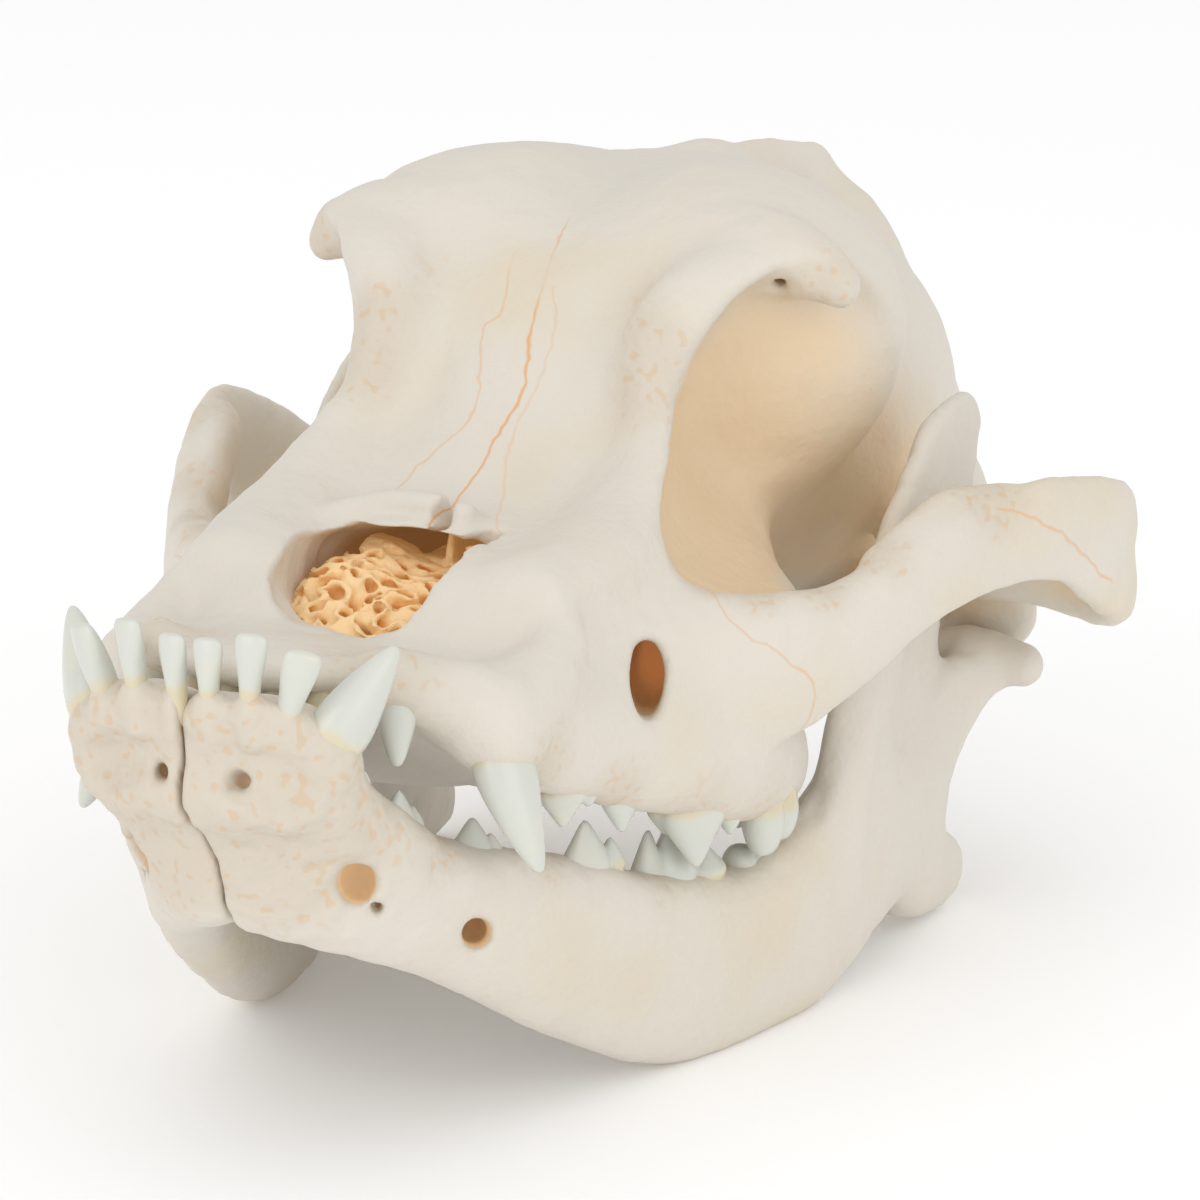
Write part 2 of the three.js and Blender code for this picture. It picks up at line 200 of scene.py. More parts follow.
def smooth_line(stations, steps):
    """A curve through all stations, with `steps` short pieces between two of them."""
    points = np.array(stations, float)
    ends = np.vstack([2 * points[0] - points[1], points, 2 * points[-1] - points[-2]])
    line = []
    for a, b, c, d in zip(ends[:-3], ends[1:-2], ends[2:-1], ends[3:]):
        for t in np.arange(steps) / steps:
            bend, twist = 2 * a - 5 * b + 4 * c - d, 3 * b - a - 3 * c + d
            line.append(0.5 * (2 * b + (c - a) * t + bend * t**2 + twist * t**3))
    return np.array(line + [points[-1]])


def limb(stations, up=(0, 0, 1), power=2.0, steps=3):
    """A tube along the stations. A power over 2 makes its section squarish."""
    line = smooth_line(stations, steps)
    widest = line[:, 3:].max(1, keepdims=True)

    def depth(axes, reach):
        block = np.full([len(axis) for axis in axes], FAR, np.float32)
        for start, end in zip(line[:-1], line[1:]):
            room = max(start[3:].max(), end[3:].max()) + reach
            low, high = np.minimum(start, end) - room, np.maximum(start, end) + room
            window = tuple(
                slice(*np.searchsorted(axis, (low[i], high[i]))) for i, axis in enumerate(axes)
            )
            if any(w.stop <= w.start for w in window):
                continue
            along = end[:3] - start[:3]
            length = np.linalg.norm(along)
            along = along / length
            side = np.cross(along, up)
            side = side / np.linalg.norm(side)
            lift = np.cross(side, along)
            near_axes = [axis[w] - np.float32(start[i]) for i, (axis, w) in enumerate(zip(axes, window))]
            travel = across(near_axes, along)
            inside = np.clip(travel, 0, length)
            part = inside / length
            width = start[3] + (end[3] - start[3]) * part
            height = start[4] + (end[4] - start[4]) * part
            cap = min(start[3], start[4], end[3], end[4])
            parts = [across(near_axes, side) / width, across(near_axes, lift) / height]
            parts.append((travel - inside) / cap)
            piece = oval_depth(parts, [width, height, cap], power)
            block[window] = np.minimum(block[window], piece.astype(np.float32))
        return block

    return {"low": (line[:, :3] - widest).min(0), "high": (line[:, :3] + widest).max(0), "depth": depth}


def torn(form, size, amount, seed):
    """The same form with a ragged skin, for the edge of a broken opening."""

    def depth(axes, reach):
        return form["depth"](axes, reach) + amount * swellings(axes, size, seed)

    return {"low": form["low"], "high": form["high"], "depth": depth}


# %% [markdown]
# A cleaned skull looks pale where it is exposed and warmer where it is sheltered, because light
# scatters in the bone and shade gathers in the hollows, and that warmth and shade are painted into
# the colour. Each point of the finished mesh therefore gets a number, `shelter`, that says how much
# bone surrounds it, and a second one, `pit`, that does the same for small pits. Both come from
# blurring the filled part of the clay block, once widely and once finely. An ambient occlusion node
# could find this too, but only at render time, and it can't be carried to another program. A third
# number, `drift`, holds broad clouds for the change from cream to chalk.

# %% Blur and read the block
def box_blur(field, reach):
    """The average over a cube, `reach` points to each side."""
    for axis in range(3):
        margins = [(reach + 1, reach) if a == axis else (0, 0) for a in range(3)]
        sums = np.cumsum(np.pad(field, margins, mode="edge"), axis)
        upper = np.take(sums, range(2 * reach + 1, sums.shape[axis]), axis)
        lower = np.take(sums, range(0, sums.shape[axis] - 2 * reach - 1), axis)
        field = (upper - lower) / (2 * reach + 1)
    return field


def read_block(block, low, step, points):
    """Values of a block at points between its own."""
    place = np.clip((points - low) / step, 0, np.array(block.shape) - 1.001)
    cell = place.astype(int)
    part = place - cell
    total = 0
    for corner in np.ndindex(2, 2, 2):
        weight = np.prod(np.where(corner, part, 1 - part), 1)
        i, j, k = (cell + corner).T
        total = total + weight * block[i, j, k]
    return total


# %% [markdown]
# The finished block is still only numbers. The skin where they cross zero is taken off as a mesh
# of quads by openvdb, which comes with Blender, in the way the Remesh modifier does. A Decimate
# modifier thins it where the bone is flat, so that each piece stays light.

# %% Take the surface off the clay
CRUMB = 400


def to_row(points):
    """From millimetres with the muzzle at y 0 to metres around the middle of the skull."""
    return (points - (0, MIDDLE_Y, 0)) / 1000


def surface(clay, name, faces):
    """A new object with the skin of the clay, in at most about `faces` triangles."""
    grid = openvdb.FloatGrid(3.0)
    grid.copyFromArray(np.clip(clay.depth, -3, 3))
    points, quads = grid.convertToQuads()
    points = clay.low + points.astype(float) * clay.step
    a, b, c, d = [points[quads[:, i]] for i in range(4)]
    volume = (a * np.cross(b, c)).sum() + (a * np.cross(c, d)).sum()
    if volume < 0:
        quads = quads[:, ::-1]
    mesh = bpy.data.meshes.new(name)
    mesh.vertices.add(len(points))
    mesh.vertices.foreach_set("co", to_row(points).astype(np.float32).ravel())
    mesh.loops.add(quads.size)
    mesh.loops.foreach_set("vertex_index", quads.astype(np.int32).ravel())
    mesh.polygons.add(len(quads))
    mesh.polygons.foreach_set("loop_start", np.arange(0, quads.size, 4, dtype=np.int32))
    mesh.update(calc_edges=True)
    piece = bpy.data.objects.new(name, mesh)
    bpy.context.scene.collection.objects.link(piece)
    if 2 * len(quads) > faces:
        thin = piece.modifiers.new("thin out", "DECIMATE")
        thin.ratio = faces / (2 * len(quads))
        settle(piece)
    drop_crumbs(piece.data)
    piece.data.shade_smooth()
    return piece


def settle(piece):
    """Bake the modifiers into the mesh."""
    shown = piece.evaluated_get(bpy.context.evaluated_depsgraph_get())
    old, piece.data = piece.data, bpy.data.meshes.new_from_object(shown)
    piece.modifiers.clear()
    bpy.data.meshes.remove(old)
    piece.data.name = piece.name


def drop_crumbs(mesh):
    """Loose scraps that the noise has cut off are taken away, so the piece is one closed skin."""
    bm = bmesh.new()
    bm.from_mesh(mesh)
    left, groups = set(bm.verts), []
    while left:
        group, front = set(), [left.pop()]
        while front:
            vert = front.pop()
            group.add(vert)
            for edge in vert.link_edges:
                other = edge.other_vert(vert)
                if other in left:
                    left.discard(other)
                    front.append(other)
        groups.append(group)
    small = [v for g in groups if len(g) < CRUMB for v in g]
    if small and len(small) < len(bm.verts):
        bmesh.ops.delete(bm, geom=small, context="VERTS")
    bm.to_mesh(mesh)
    bm.free()


# %% [markdown]
# A mark is one number for each vertex, kept in the mesh as an attribute with a name. Vertex
# colours could hold it too, but an attribute keeps whole numbers and signs, and says what it is.

# %% Marks on a mesh
def points_of(mesh):
    """Places and normals of the vertices, back in millimetres from the lower incisors."""
    points = np.empty(len(mesh.vertices) * 3, np.float32)
    mesh.vertices.foreach_get("co", points)
    normals = np.empty_like(points)
    mesh.vertices.foreach_get("normal", normals)
    points, normals = points.reshape(-1, 3).astype(float), normals.reshape(-1, 3).astype(float)
    return points * 1000 + (0, MIDDLE_Y, 0), normals


def mark(mesh, name, values):
    attribute = mesh.attributes.new(name, "FLOAT", "POINT")
    attribute.data.foreach_set("value", np.asarray(values, np.float32))


def mark_shelter(piece, clay, wide=9.0, fine=2.4):
    skip = 2 if clay.step < 1 else 1
    filled = (clay.depth[::skip, ::skip, ::skip] < 0).astype(np.float32)
    step = clay.step * skip
    points, normals = points_of(piece.data)
    axes = [axis[::skip] for axis in clay.axes]
    clouds = 0.6 * swellings(axes, 21, 5) + 0.4 * swellings(axes, 8, 6)
    mark(piece.data, "drift", read_block(clouds, clay.low, step, points))
    # Shelter and pit drive painted shade and warm scattered light in the finishes; drift is the bone's own
    # cloudy tone.
    for name, size, lift in (("shelter", wide, 2.0), ("pit", fine, 0.6)):
        reach = max(1, int(round(size / step / 1.7)))
        blurred = box_blur(box_blur(filled, reach), reach)
        mark(piece.data, name, read_block(blurred, clay.low, step, points + normals * lift))


# %% [markdown]
# The cranium comes first, one half of it, and a mirror makes the other. It starts at the back:
# the braincase, its low crest, the nuchal line and the base of the skull. Two balls run together
# make the dome, because a braincase is nearly egg-shaped, and limbs along the middle join it to
# the face.

# %% Braincase and base
STEP = 0.6
cranium_clay = Clay((0, 8, 20), (66, 184, 101), STEP)


def braincase(clay):
    clay.add(ball((0, 142, 62.5), (29.2, 36.4, 26)), ball((0, 158, 54), (25.5, 17, 24)), blend=7)
    occiput = [[0, 150, 72, 10, 12], [0, 164, 68, 12, 12], [0, 173, 70, 6, 9]]
    base = [[0, 84, 44, 12, 12], [0, 110, 48, 14, 13], [0, 140, 44, 17, 10], [0, 166, 42, 16, 9]]
    waist = [[0, 88, 56, 23, 16], [0, 104, 57, 21, 16], [0, 120, 59, 23, 18], [0, 132, 60, 25, 20]]
    for part in (occiput, base, waist):
        clay.add(limb(part), blend=5)
    crest = [[0, 134, 89.5, 3, 4], [0, 150, 89.4, 1.8, 3.4], [0, 164, 87.4, 2, 3.6], [0, 175, 84, 3.4, 5]]
    clay.add(limb(crest), blend=4)
    nuchal = [
        [29, 160, 42, 2.2, 4.4], [22.5, 166, 57, 2.2, 4.4], [14, 170.5, 72, 2.6, 4.6],
        [6, 174, 80, 3.4, 5.2], [0, 174.6, 81.5, 3.6, 5],
    ]
    clay.add(limb(nuchal, up=(0, 1, 0)), blend=4)


braincase(cranium_clay)
note("half a braincase", cranium_clay)

# %% [markdown]
# A boxer has a high forehead with two domes and a furrow between them. The domes are balls with a
# wide blend. The slope down to the nose is one broad limb, the rim over each orbit is a thin one,
# and the furrow is a shallow limb cut out with the widest blend of all, so it has no edges.

# %% Forehead
def forehead(clay):
    clay.add(ball((16.4, 108.6, 79), (20, 19.8, 17.8)), ball((0, 121, 76), (24, 28, 20.5)), blend=9)
    slope = [[0, 110, 76, 18, 14], [0, 98, 73, 21, 15.5], [0, 90, 64.5, 22, 15], [0, 82, 57, 24, 13.5]]
    clay.add(limb(slope), blend=6)
    brow = [
        [21, 76, 64, 4.5, 5], [17.8, 81.5, 72, 4.4, 5], [18, 85.5, 80, 4.6, 5.4],
        [21.4, 90, 86, 4.8, 4.8], [27, 97, 88.4, 4.5, 4],
    ]
    clay.add(limb(brow), blend=5)
    furrow = [[0, 99, 97, 3, 1], [0, 108, 98.4, 6, 3], [0, 122, 99, 6, 3], [0, 133, 97, 2, 1]]
    clay.cut(limb(furrow), blend=7)


forehead(cranium_clay)
note("with the forehead", cranium_clay)

# %% [markdown]
# The boxer's face is short and broad. One squarish limb makes the muzzle, from the thin edge
# over the upper incisors back to the orbits, and a second one under it carries the cheek teeth.
# Low swellings over the root of the canine and along the nose bones show through the bone.

# %% Face
def face(clay):
    muzzle = [
        [0, 14.5, 57.2, 8.8, 2], [0, 18, 56.8, 12.8, 2.4], [0, 24, 54.6, 16.8, 3.8], [0, 32, 51, 22, 6.2],
        [0, 40, 49.4, 24, 9.2], [0, 47, 50, 25.5, 13.4], [0, 56, 49.4, 28, 14], [0, 66, 48.4, 32, 16],
        [0, 76, 47.5, 35.5, 19.4], [0, 86, 48, 34, 21], [0, 94, 54, 27, 18],
    ]
    clay.add(limb(muzzle, power=2.5), blend=5)
    tooth_row = [
        [14, 20, 57.6, 2.2, 2.2], [17.2, 24.6, 54.4, 3.2, 3.4], [21.4, 29, 51.8, 4.4, 4.6],
        [23.4, 38, 46.6, 3.6, 5.6], [26, 50, 43, 3.8, 7], [30.2, 62, 39.4, 4.6, 7.6],
        [32.2, 74, 35, 4.8, 7], [31, 88, 31.6, 4, 6],
    ]
    clay.add(limb(tooth_row), blend=4)
    canine_root = [[21.8, 30, 49, 4.4, 4.6], [23.4, 36, 53, 3.6, 4], [24, 43, 56, 2.4, 3]]
    clay.add(limb(canine_root), blend=3.5)
    nose_side = [
        [19, 46, 60.6, 4, 3.2], [20, 56, 61.4, 5, 3.8], [20.4, 66, 62, 5, 4.6], [20.5, 76, 64, 4.5, 5],
    ]
    clay.add(limb(nose_side), blend=6)


face(cranium_clay)
note("with the face", cranium_clay)

# %% [markdown]
# Now the hollows that give the skull its look: the orbit, which opens sideways and back into the
# temporal fossa, and its floor, which runs down behind the cheek teeth. Cut one by one, the four
# balls would leave ridges inside. They are melted into one hollow first and cut together, and the
# wall of the braincase then swells back into it.

# %% Orbits
def orbits(clay):
    socket = ball((40, 93.5, 73.5), (22, 19.6, 18))
    front = ball((38.5, 88.5, 66.5), (18.8, 21, 13))
    corner = ball((35.5, 76, 62.8), (12.5, 14.5, 8.2))
    fossa = ball((44, 110, 50), (20.4, 19, 28))
    clay.cut(melted(8, socket, front, corner, fossa), blend=1.6)
    temporal_wall = ball((14, 114, 75.5), (19.5, 18, 18.5))
    clay.add(temporal_wall, blend=7)


orbits(cranium_clay)
note("orbit scooped out", cranium_clay)

# %% [markdown]
# The cheek arch stands clear of the braincase and is a thin leaning plate, so it is added after
# the orbit is scooped out. Then come the brow's broken point over the orbit, the small processes
# of the base, the hearing bulla and the condyles.

# %% Arches and processes
def arches(clay):
    brow_point = [
        [16, 100, 89, 5, 4.6], [25, 98.6, 89.6, 4.4, 4.2],
        [30.6, 99.2, 88, 3.4, 3.8], [34.2, 100, 86, 2, 2.4],
    ]
    clay.add(torn(limb(brow_point), 2.2, 0.45, 61), blend=2.5)
    arch = [
        [27, 65, 46, 6, 9.6], [36, 72, 47.2, 5, 9], [42.1, 80.6, 49.6, 3.8, 6.4], [47.1, 90, 53.8, 3, 5.4],
        [52.4, 103, 56.6, 2.5, 5.8], [57.5, 116, 55.9, 2.4, 6.6], [59.6, 126, 51, 2.6, 8.4],
        [54.6, 133.5, 46.4, 3.4, 7], [45, 137, 45.5, 5, 5], [31, 139, 46, 7, 7],
    ]
    clay.add(limb(arch, power=2.4), blend=3)
    orbit_rim = [[44, 88, 55.8, 2.2, 3], [47.6, 98, 60, 2.4, 3.2], [51.6, 105.6, 59.8, 2.3, 3]]
    clay.add(limb(orbit_rim), blend=2.5)


def underside(clay):
    jaw_stop = ball((38, 142, 37.5), (7, 2.8, 6.5))
    bulla = ball((18, 150, 34), (9, 12.5, 9.5))
    clay.add(jaw_stop, bulla, blend=2.5)
    paracondylar = [[24.5, 163, 46, 5, 6], [24.5, 165.5, 34, 4, 4.5], [24.5, 166.5, 25, 2.2, 2.6]]
    clay.add(limb(paracondylar, up=(0, 1, 0)), blend=3)
    condyle = ball((11, 174, 38), (6, 6.5, 8))
    clay.add(condyle, blend=3)
    pterygoid = [[12, 84, 38, 3, 10], [11.5, 98, 38, 2.6, 11], [11, 112, 36, 2.4, 8]]
    clay.add(limb(pterygoid), blend=2.5)


arches(cranium_clay)
underside(cranium_clay)
note("with arch and base", cranium_clay)

# %% [markdown]
# Canals run through the bone for nerves and vessels, and larger ways for the breath and the
# spinal cord. Each one is a limb cut out with a narrow blend, which leaves the soft lip that a
# drilled hole wouldn't have.

# %% Canals
def openings(clay):
    infraorbital = [[32.6, 48, 51, 1.6, 4.4], [27, 58, 48.6, 2, 4.2], [24, 70, 48, 2, 3]]
    clay.cut(limb(infraorbital), blend=1.2)
    spinal_cord = [[0, 190, 47, 8.4, 7.6], [0, 163, 50, 7, 6]]
    breath = [[0, 92, 34, 8, 7], [0, 122, 31, 8, 6]]
    for way in (spinal_cord, breath):
        clay.cut(limb(way), blend=1.5)
    orbit_roof = [[28.6, 92, 85, 0.8, 1.1], [26.4, 100, 88, 0.8, 1.1]]
    clay.cut(limb(orbit_roof), blend=0.6)
    tear_duct = [[29.5, 75, 57, 2, 1.8], [25, 70, 54, 1.6, 1.6]]
    clay.cut(limb(tear_duct), blend=1)


openings(cranium_clay)
note("canals cut", cranium_clay)

# %% [markdown]
# The half is mirrored now. A Mirror modifier would do the same on a mesh, but mirroring the clay
# lets the crease along the middle be smoothed away before there are any faces. The nose is cut
# last, after the mirror, because the real one is broken and not quite even: its hollow leaves
# only a thin shelf of nasal bone overhead, with torn notches in it.

# %% Mirror and nose
def mirrored(clay):
    """The whole block from its left half, with the midline crease smoothed away."""
    clay.depth = np.concatenate([clay.depth[:0:-1], clay.depth], 0)
    clay.low = np.array([-clay.axes[0][-1], clay.low[1], clay.low[2]])
    clay.axes[0] = np.concatenate([-clay.axes[0][:0:-1], clay.axes[0]])
    clay.depth = soften(clay.depth)


def nose_opening(clay):
    lip = [
        [-14, 55, 61, 1.3, 1.2], [-12, 59, 63, 1.6, 1.3], [-7, 61, 64.6, 1.8, 1.3],
        [-1, 61, 65, 1.8, 1.2], [4, 60, 64.6, 1.6, 1.2],
    ]
    clay.add(limb(lip), blend=1.6)
    nose = [
        [-0.6, 33, 66, 8.6, 8.4], [-0.6, 40, 62.6, 9.8, 7.6], [-0.9, 46, 60.2, 10.6, 7],
        [-1.6, 52, 58.2, 11.4, 6.6], [-2.2, 58, 56.4, 11.8, 6.2], [-1.5, 68, 54.4, 11, 6.4],
        [0, 80, 53, 9, 6.6],
    ]
    clay.cut(torn(limb(nose, power=2.8), 3.2, 0.5, 71), blend=0.8)
    notches = [
        [[1.6, 58, 65, 1.6, 3], [1.8, 62.4, 64, 0.8, 2.4]],
        [[7, 54, 62, 2, 3], [8, 58.4, 62, 1.4, 2.4]],
    ]
    for i, notch in enumerate(notches):
        clay.cut(torn(limb(notch), 2, 0.3, 72 + i), blend=0.6)


mirrored(cranium_clay)
nose_opening(cranium_clay)
note("whole cranium", cranium_clay)

# %% [markdown]
# The air inside the nose is filled with thin bone leaves, folded like lace. No sheet of faces
# could be folded that way by hand, but a wavy function of space gives just such leaves, so they
# are cut out of their own fine block of clay. A few torn plates lean in from the rim.

# %% Lace bone in the nose
LEAF_THICKNESS = 0.27


def lace(axes, wave, seed):
    """A folded leaf that repeats every `wave` millimetres, with its folds made irregular."""
    bend = [swellings(axes, wave * 1.1, seed + i) * wave * 0.34 for i in range(3)]
    x, y, z = [
        (axis.reshape([-1 if i == j else 1 for j in range(3)]) + bend[i]) * (2 * math.pi / wave)
        for i, axis in enumerate(axes)
    ]
    leaf = np.sin(x) * np.cos(y) + np.sin(y) * np.cos(z) + np.sin(z) * np.cos(x)
    return np.abs(leaf + 0.25 * swellings(axes, wave * 0.5, seed + 5)) * wave / 9


def nose_lace():
    clay = Clay((-15, 38, 42), (15, 86, 66), 0.36)
    floor_heap = [
        [-0.6, 42, 50, 9.4, 5], [-1.4, 50, 51, 11.6, 6.4], [-1.6, 58, 50.6, 12, 7], [0, 80, 51, 9, 6],
    ]
    right_heap = [[-7.4, 47, 53.4, 4.6, 3.6], [-8, 53, 55, 5, 4.4], [-7, 60, 55.5, 5.4, 4.4]]
    clay.add(limb(floor_heap), blend=0)
    clay.add(limb(right_heap), blend=2)
    leaves = lace(clay.axes, wave=4.6, seed=31) - LEAF_THICKNESS
    clay.depth = np.maximum(clay.depth + 0.5 * swellings(clay.axes, 3, 8), leaves)
    plates = [
        [[9.2, 40.5, 54, 0.5, 2.6], [9, 46, 56.4, 0.45, 3.6], [8.2, 51, 59, 0.4, 3], [7.4, 55, 61, 0.4, 1.4]],
        [[9.6, 44, 51, 0.6, 3], [6.4, 47, 52, 0.5, 3.6], [5, 51, 54, 0.4, 2.4]],
        [[6, 60.5, 60.4, 2.6, 0.45], [6.4, 65, 57, 4, 0.5], [5, 74, 54, 5, 0.5]],
        [[-9, 62, 59.6, 4, 0.5], [-3, 64, 57.5, 4, 0.5], [-2, 76, 55, 5, 0.5]],
        [[0, 64, 58, 0.45, 4], [0, 82, 54, 0.5, 6]],
    ]
    clay.add(*[limb(plate) for plate in plates], blend=0.6)
    clay.depth += 0.18 * swellings(clay.axes, 1.3, 12)
    return clay


lace_clay = nose_lace()
note("lace bone", lace_clay)

# %% [markdown]
# Each half of the lower jaw is a body, a tall thin ramus, a condyle and an angle. The two halves
# are loose bones that only meet at the chin, so each one is its own piece, and a rough gap runs
# between them. The right half's front is a little wider, so the feet of its front teeth stand
# further from the middle.

# %% Bars of the lower jaw
ANGLED_UP = (0, -0.3, 1)
SIDEWAYS_UP = (0, 1, 0)
FRONT_FEET = {1: (1.4, 6.2, 9.5, 13), -1: (2.4, 7.4, 12.1, 15.6)}
JAW_BODY = [
    [-4, 10.6, 40, 4.4, 10], [2.4, 11, 39.8, 4.6, 10], [7.2, 14, 37.4, 4.8, 9.4], [11.8, 21, 32.4, 4.8, 7.6],
    [16.4, 31, 27.6, 4.8, 7.9], [20.2, 42, 22.2, 5, 9.4], [23.8, 54, 16.4, 5, 10.4], [27, 66, 11.8, 5, 11.4],
    [30, 78, 9.8, 4.9, 11.4], [33, 90, 11.4, 4.6, 12], [34.6, 102, 14.8, 4, 11.6], [35, 114, 16.4, 3.5, 10.6],
    [35.4, 126, 13, 3.2, 9.6],
]
RAMUS = [
    [33.8, 110, 14, 3.2, 15], [35.4, 111, 28, 2.8, 17.4], [36.6, 112.5, 42, 2.4, 15],
    [38.4, 118, 54.4, 2.2, 12], [39, 125, 61.8, 2, 8.4], [39.4, 128.8, 65.6, 1.7, 4],
]
CONDYLE = [[31.5, 134.5, 32.6, 2.6, 2.8], [38, 135.5, 33, 3.8, 4], [45, 136, 32.4, 2.8, 3.2]]
NECK = [[36, 118, 20, 3, 10], [38, 127, 27, 3, 8], [39, 133, 31, 3.6, 4.4]]
ANGLE = [[35, 122, 8.5, 3, 6.4], [35.4, 130, 5.8, 3, 5.6], [35.6, 134, 5.2, 2.7, 4.4]]
FRONT_EDGE = [
    [35.6, 95, 14, 2.6, 3], [37, 96.5, 28, 2.6, 2.6], [38, 101, 42, 2.2, 2.4],
    [38.8, 110, 54, 2, 2.2], [38.8, 119, 62.6, 1.8, 2],
]


# %% [markdown]
# The front carries the incisors on a thin band of bone. The band is a limb that runs across the
# middle, a shallow limb hollows it under the teeth, and a small bump stands over each root. Each
# of these could be sculpted by hand, but as limbs they follow the feet of the teeth.

# %% Front of the jaw
def jaw_front(clay, feet):
    """The band that carries the incisors, hollowed under them, with a bump over every root."""
    band = [
        [-5, 6, 49.8, 4.8, 7.2], [3, 5.6, 50.2, 5, 7.4], [feet[2] - 0.9, 7, 49.6, 4.8, 7],
        [feet[3] - 2.2, 9.4, 48.6, 3.8, 4.6], [11.8, 14, 42, 3.2, 4], [13.6, 20.5, 37.2, 3.2, 3.8],
    ]
    clay.add(limb(band, power=2.4), blend=3)
    dip = [[-3, -1, 51.4, 3, 3], [4, -0.7, 51.4, 3.4, 3.2], [8.6, 1, 50.2, 3, 3], [12, 4, 48.6, 2, 2.2]]
    clay.cut(limb(dip), blend=4)
    for x, y, top in ((feet[0], 3, 57.2), (feet[1], 3.3, 57.4), (feet[2], 4.8, 56)):
        clay.add(limb([[x, y, top, 1.5, 1.5], [x * 0.97, y - 0.2, 53.4, 1.1, 1.1]]), blend=1.6)
    canine_root = [[feet[3] - 0.5, 8.8, 52, 2.7, 2.8], [feet[3] - 2.2, 9.6, 46, 2.4, 2.6]]
    clay.add(limb(canine_root), blend=3)


def jaw_holes(clay):
    """The hollow for the chewing muscle and the four mental foramina."""
    clay.cut(ball((47.4, 117, 31), (10.4, 13.5, 16)), blend=3)
    main = limb([[15.5, 8, 37.4, 2, 2.2], [11, 18, 34.6, 1.8, 2]])
    rear = limb([[23.4, 22, 28.4, 1.9, 1.9], [17, 34, 25, 1.6, 1.6]])
    clay.cut(main, rear, blend=0.8)
    clay.cut(limb([[4, -2, 49.6, 1.2, 1.4], [4.6, 5, 48.4, 1, 1]]), blend=0.6)
    clay.cut(limb([[14.4, 15, 32.4, 0.7, 0.7], [13, 19, 31.8, 0.6, 0.6]]), blend=0.4)


def jaw_half(side):
    clay = Clay((-4.5, -2, -2), (51, 144, 74), 0.55)
    jaw_front(clay, FRONT_FEET[side])
    clay.add(limb(JAW_BODY, up=ANGLED_UP, power=2.6), blend=4)
    clay.add(limb(RAMUS, up=SIDEWAYS_UP, power=2.6), blend=4)
    clay.add(limb(CONDYLE, up=SIDEWAYS_UP), blend=2)
    clay.add(limb(NECK, up=SIDEWAYS_UP), blend=2.5)
    clay.add(limb(ANGLE), blend=3)
    clay.add(limb(FRONT_EDGE), blend=2.5)
    jaw_holes(clay)
    return clay


# %% [markdown]
# The chin is rough, fibrous bone, and the seam between the halves wanders to the right above it.
# A random field stretched along the fibres gives the one, and a moving cutting plane the other.
# The same plane, with its sign turned, cuts the other half, so the two faces fit.

# %% Finish a jaw half
def finish_jaw(clay, seed, side):
    """Grain, the worn flat that it stands on, and the rough face where it meets its twin."""
    x, y, z = clay.axes
    drift = -1.8 * side * np.clip((z - 36) / 12, 0, 1)
    grain = 0.22 * swellings(clay.axes, 6, seed) + 0.12 * swellings(clay.axes, 2.2, seed + 1)
    chin = np.clip((30 - y) / 22, 0, 1)[None, :, None]
    fibres = swellings([x * 0.5, y, z * 1.6], 1.4, seed + 2) + 0.7 * swellings([x, y, z], 2.4, seed + 4)
    clay.depth += grain + 0.3 * chin * fibres
    seam = 0.1 + side * 0.5 * swellings(clay.axes, 4, 60) + drift[None, None, :] - x[:, None, None]
    worn_flat = 0.05 - z[None, None, :]
    clay.depth = np.maximum(clay.depth, np.maximum(seam, worn_flat)).astype(np.float32)
    clay.depth = soften(clay.depth)


# %% [markdown]
# Two more kinds of marks are laid on the finished meshes. A seam mark holds the distance sideways
# from a suture, negative on one side of it and positive on the other, so the material can draw a
# thin line however large the faces are, and the plain distance, which keeps the line from showing
# up elsewhere. Cutting the sutures into the mesh would take far smaller faces. A zone mark fades
# out round a few places. It says where the bone is porous, and where warm light and shade are
# painted into the hollows, with a faint glow.

# %% Seam marks
def seam_mark(piece, name, line, both_sides=False):
    """Lay a suture along a line of points, on both sides of the skull if asked."""
    points, normals = points_of(piece.data)
    if both_sides:
        points[:, 0] = np.abs(points[:, 0])
    track = smooth_line(line, 12)
    nearest = np.zeros(len(points), int)
    best = np.full(len(points), 1e9)
    for i, stop in enumerate(track):
        gap = ((points - stop) ** 2).sum(1)
        closer = gap < best
        nearest[closer], best[closer] = i, gap[closer]
    along = np.gradient(track, axis=0)[nearest]
    offset = points - track[nearest]
    across_way = np.cross(along, normals)
    across_way /= np.maximum(np.linalg.norm(across_way, axis=1, keepdims=True), 1e-6)
    sideways = (offset * across_way).sum(1)
    past_end = ((nearest == 0) | (nearest == len(track) - 1)) & (best > 0.5)
    reach = np.sqrt(best) + 3 * past_end
    pairs = np.stack([sideways, reach, 0 * reach], 1).astype(np.float32)
    attribute = piece.data.attributes.new(name, "FLOAT_VECTOR", "POINT")
    attribute.data.foreach_set("vector", pairs.ravel())


SEAMS = {
    "seam_nose": [
        (-1.4, 101.3, 88.8), (-0.4, 96.4, 87.5), (1.7, 83, 78.3), (2.3, 79.2, 74.1), (1, 74.4, 68.5),
        (0.5, 66.1, 65.1), (1.1, 57.7, 63.9),
    ],
    "seam_nose_right": [
        (-1, 97, 87.3), (-4.7, 93.9, 86), (-3.1, 86.7, 81.7), (-4.8, 85.1, 79.6), (-3.8, 81.6, 76.2),
        (-2.9, 77.1, 71.4), (-6.3, 72.6, 65.9), (-8.4, 64.4, 63.9),
    ],
    "seam_nose_left": [
        (1.9, 89.3, 84.8), (4.1, 84.1, 78.7), (2.8, 75, 68.6), (5.2, 67.7, 64.8), (9.7, 54.2, 62.9),
    ],
    "seam_cheek": [
        (26.7, 71.6, 59), (29, 69, 56.3), (35.6, 65.1, 53.9), (40.6, 67.9, 49.7), (42.9, 71.5, 45.5),
        (42, 72, 38),
    ],
    "seam_arch": [(54.5, 100.1, 61.9), (58.5, 108.7, 57.4), (61.4, 119.5, 49)],
}
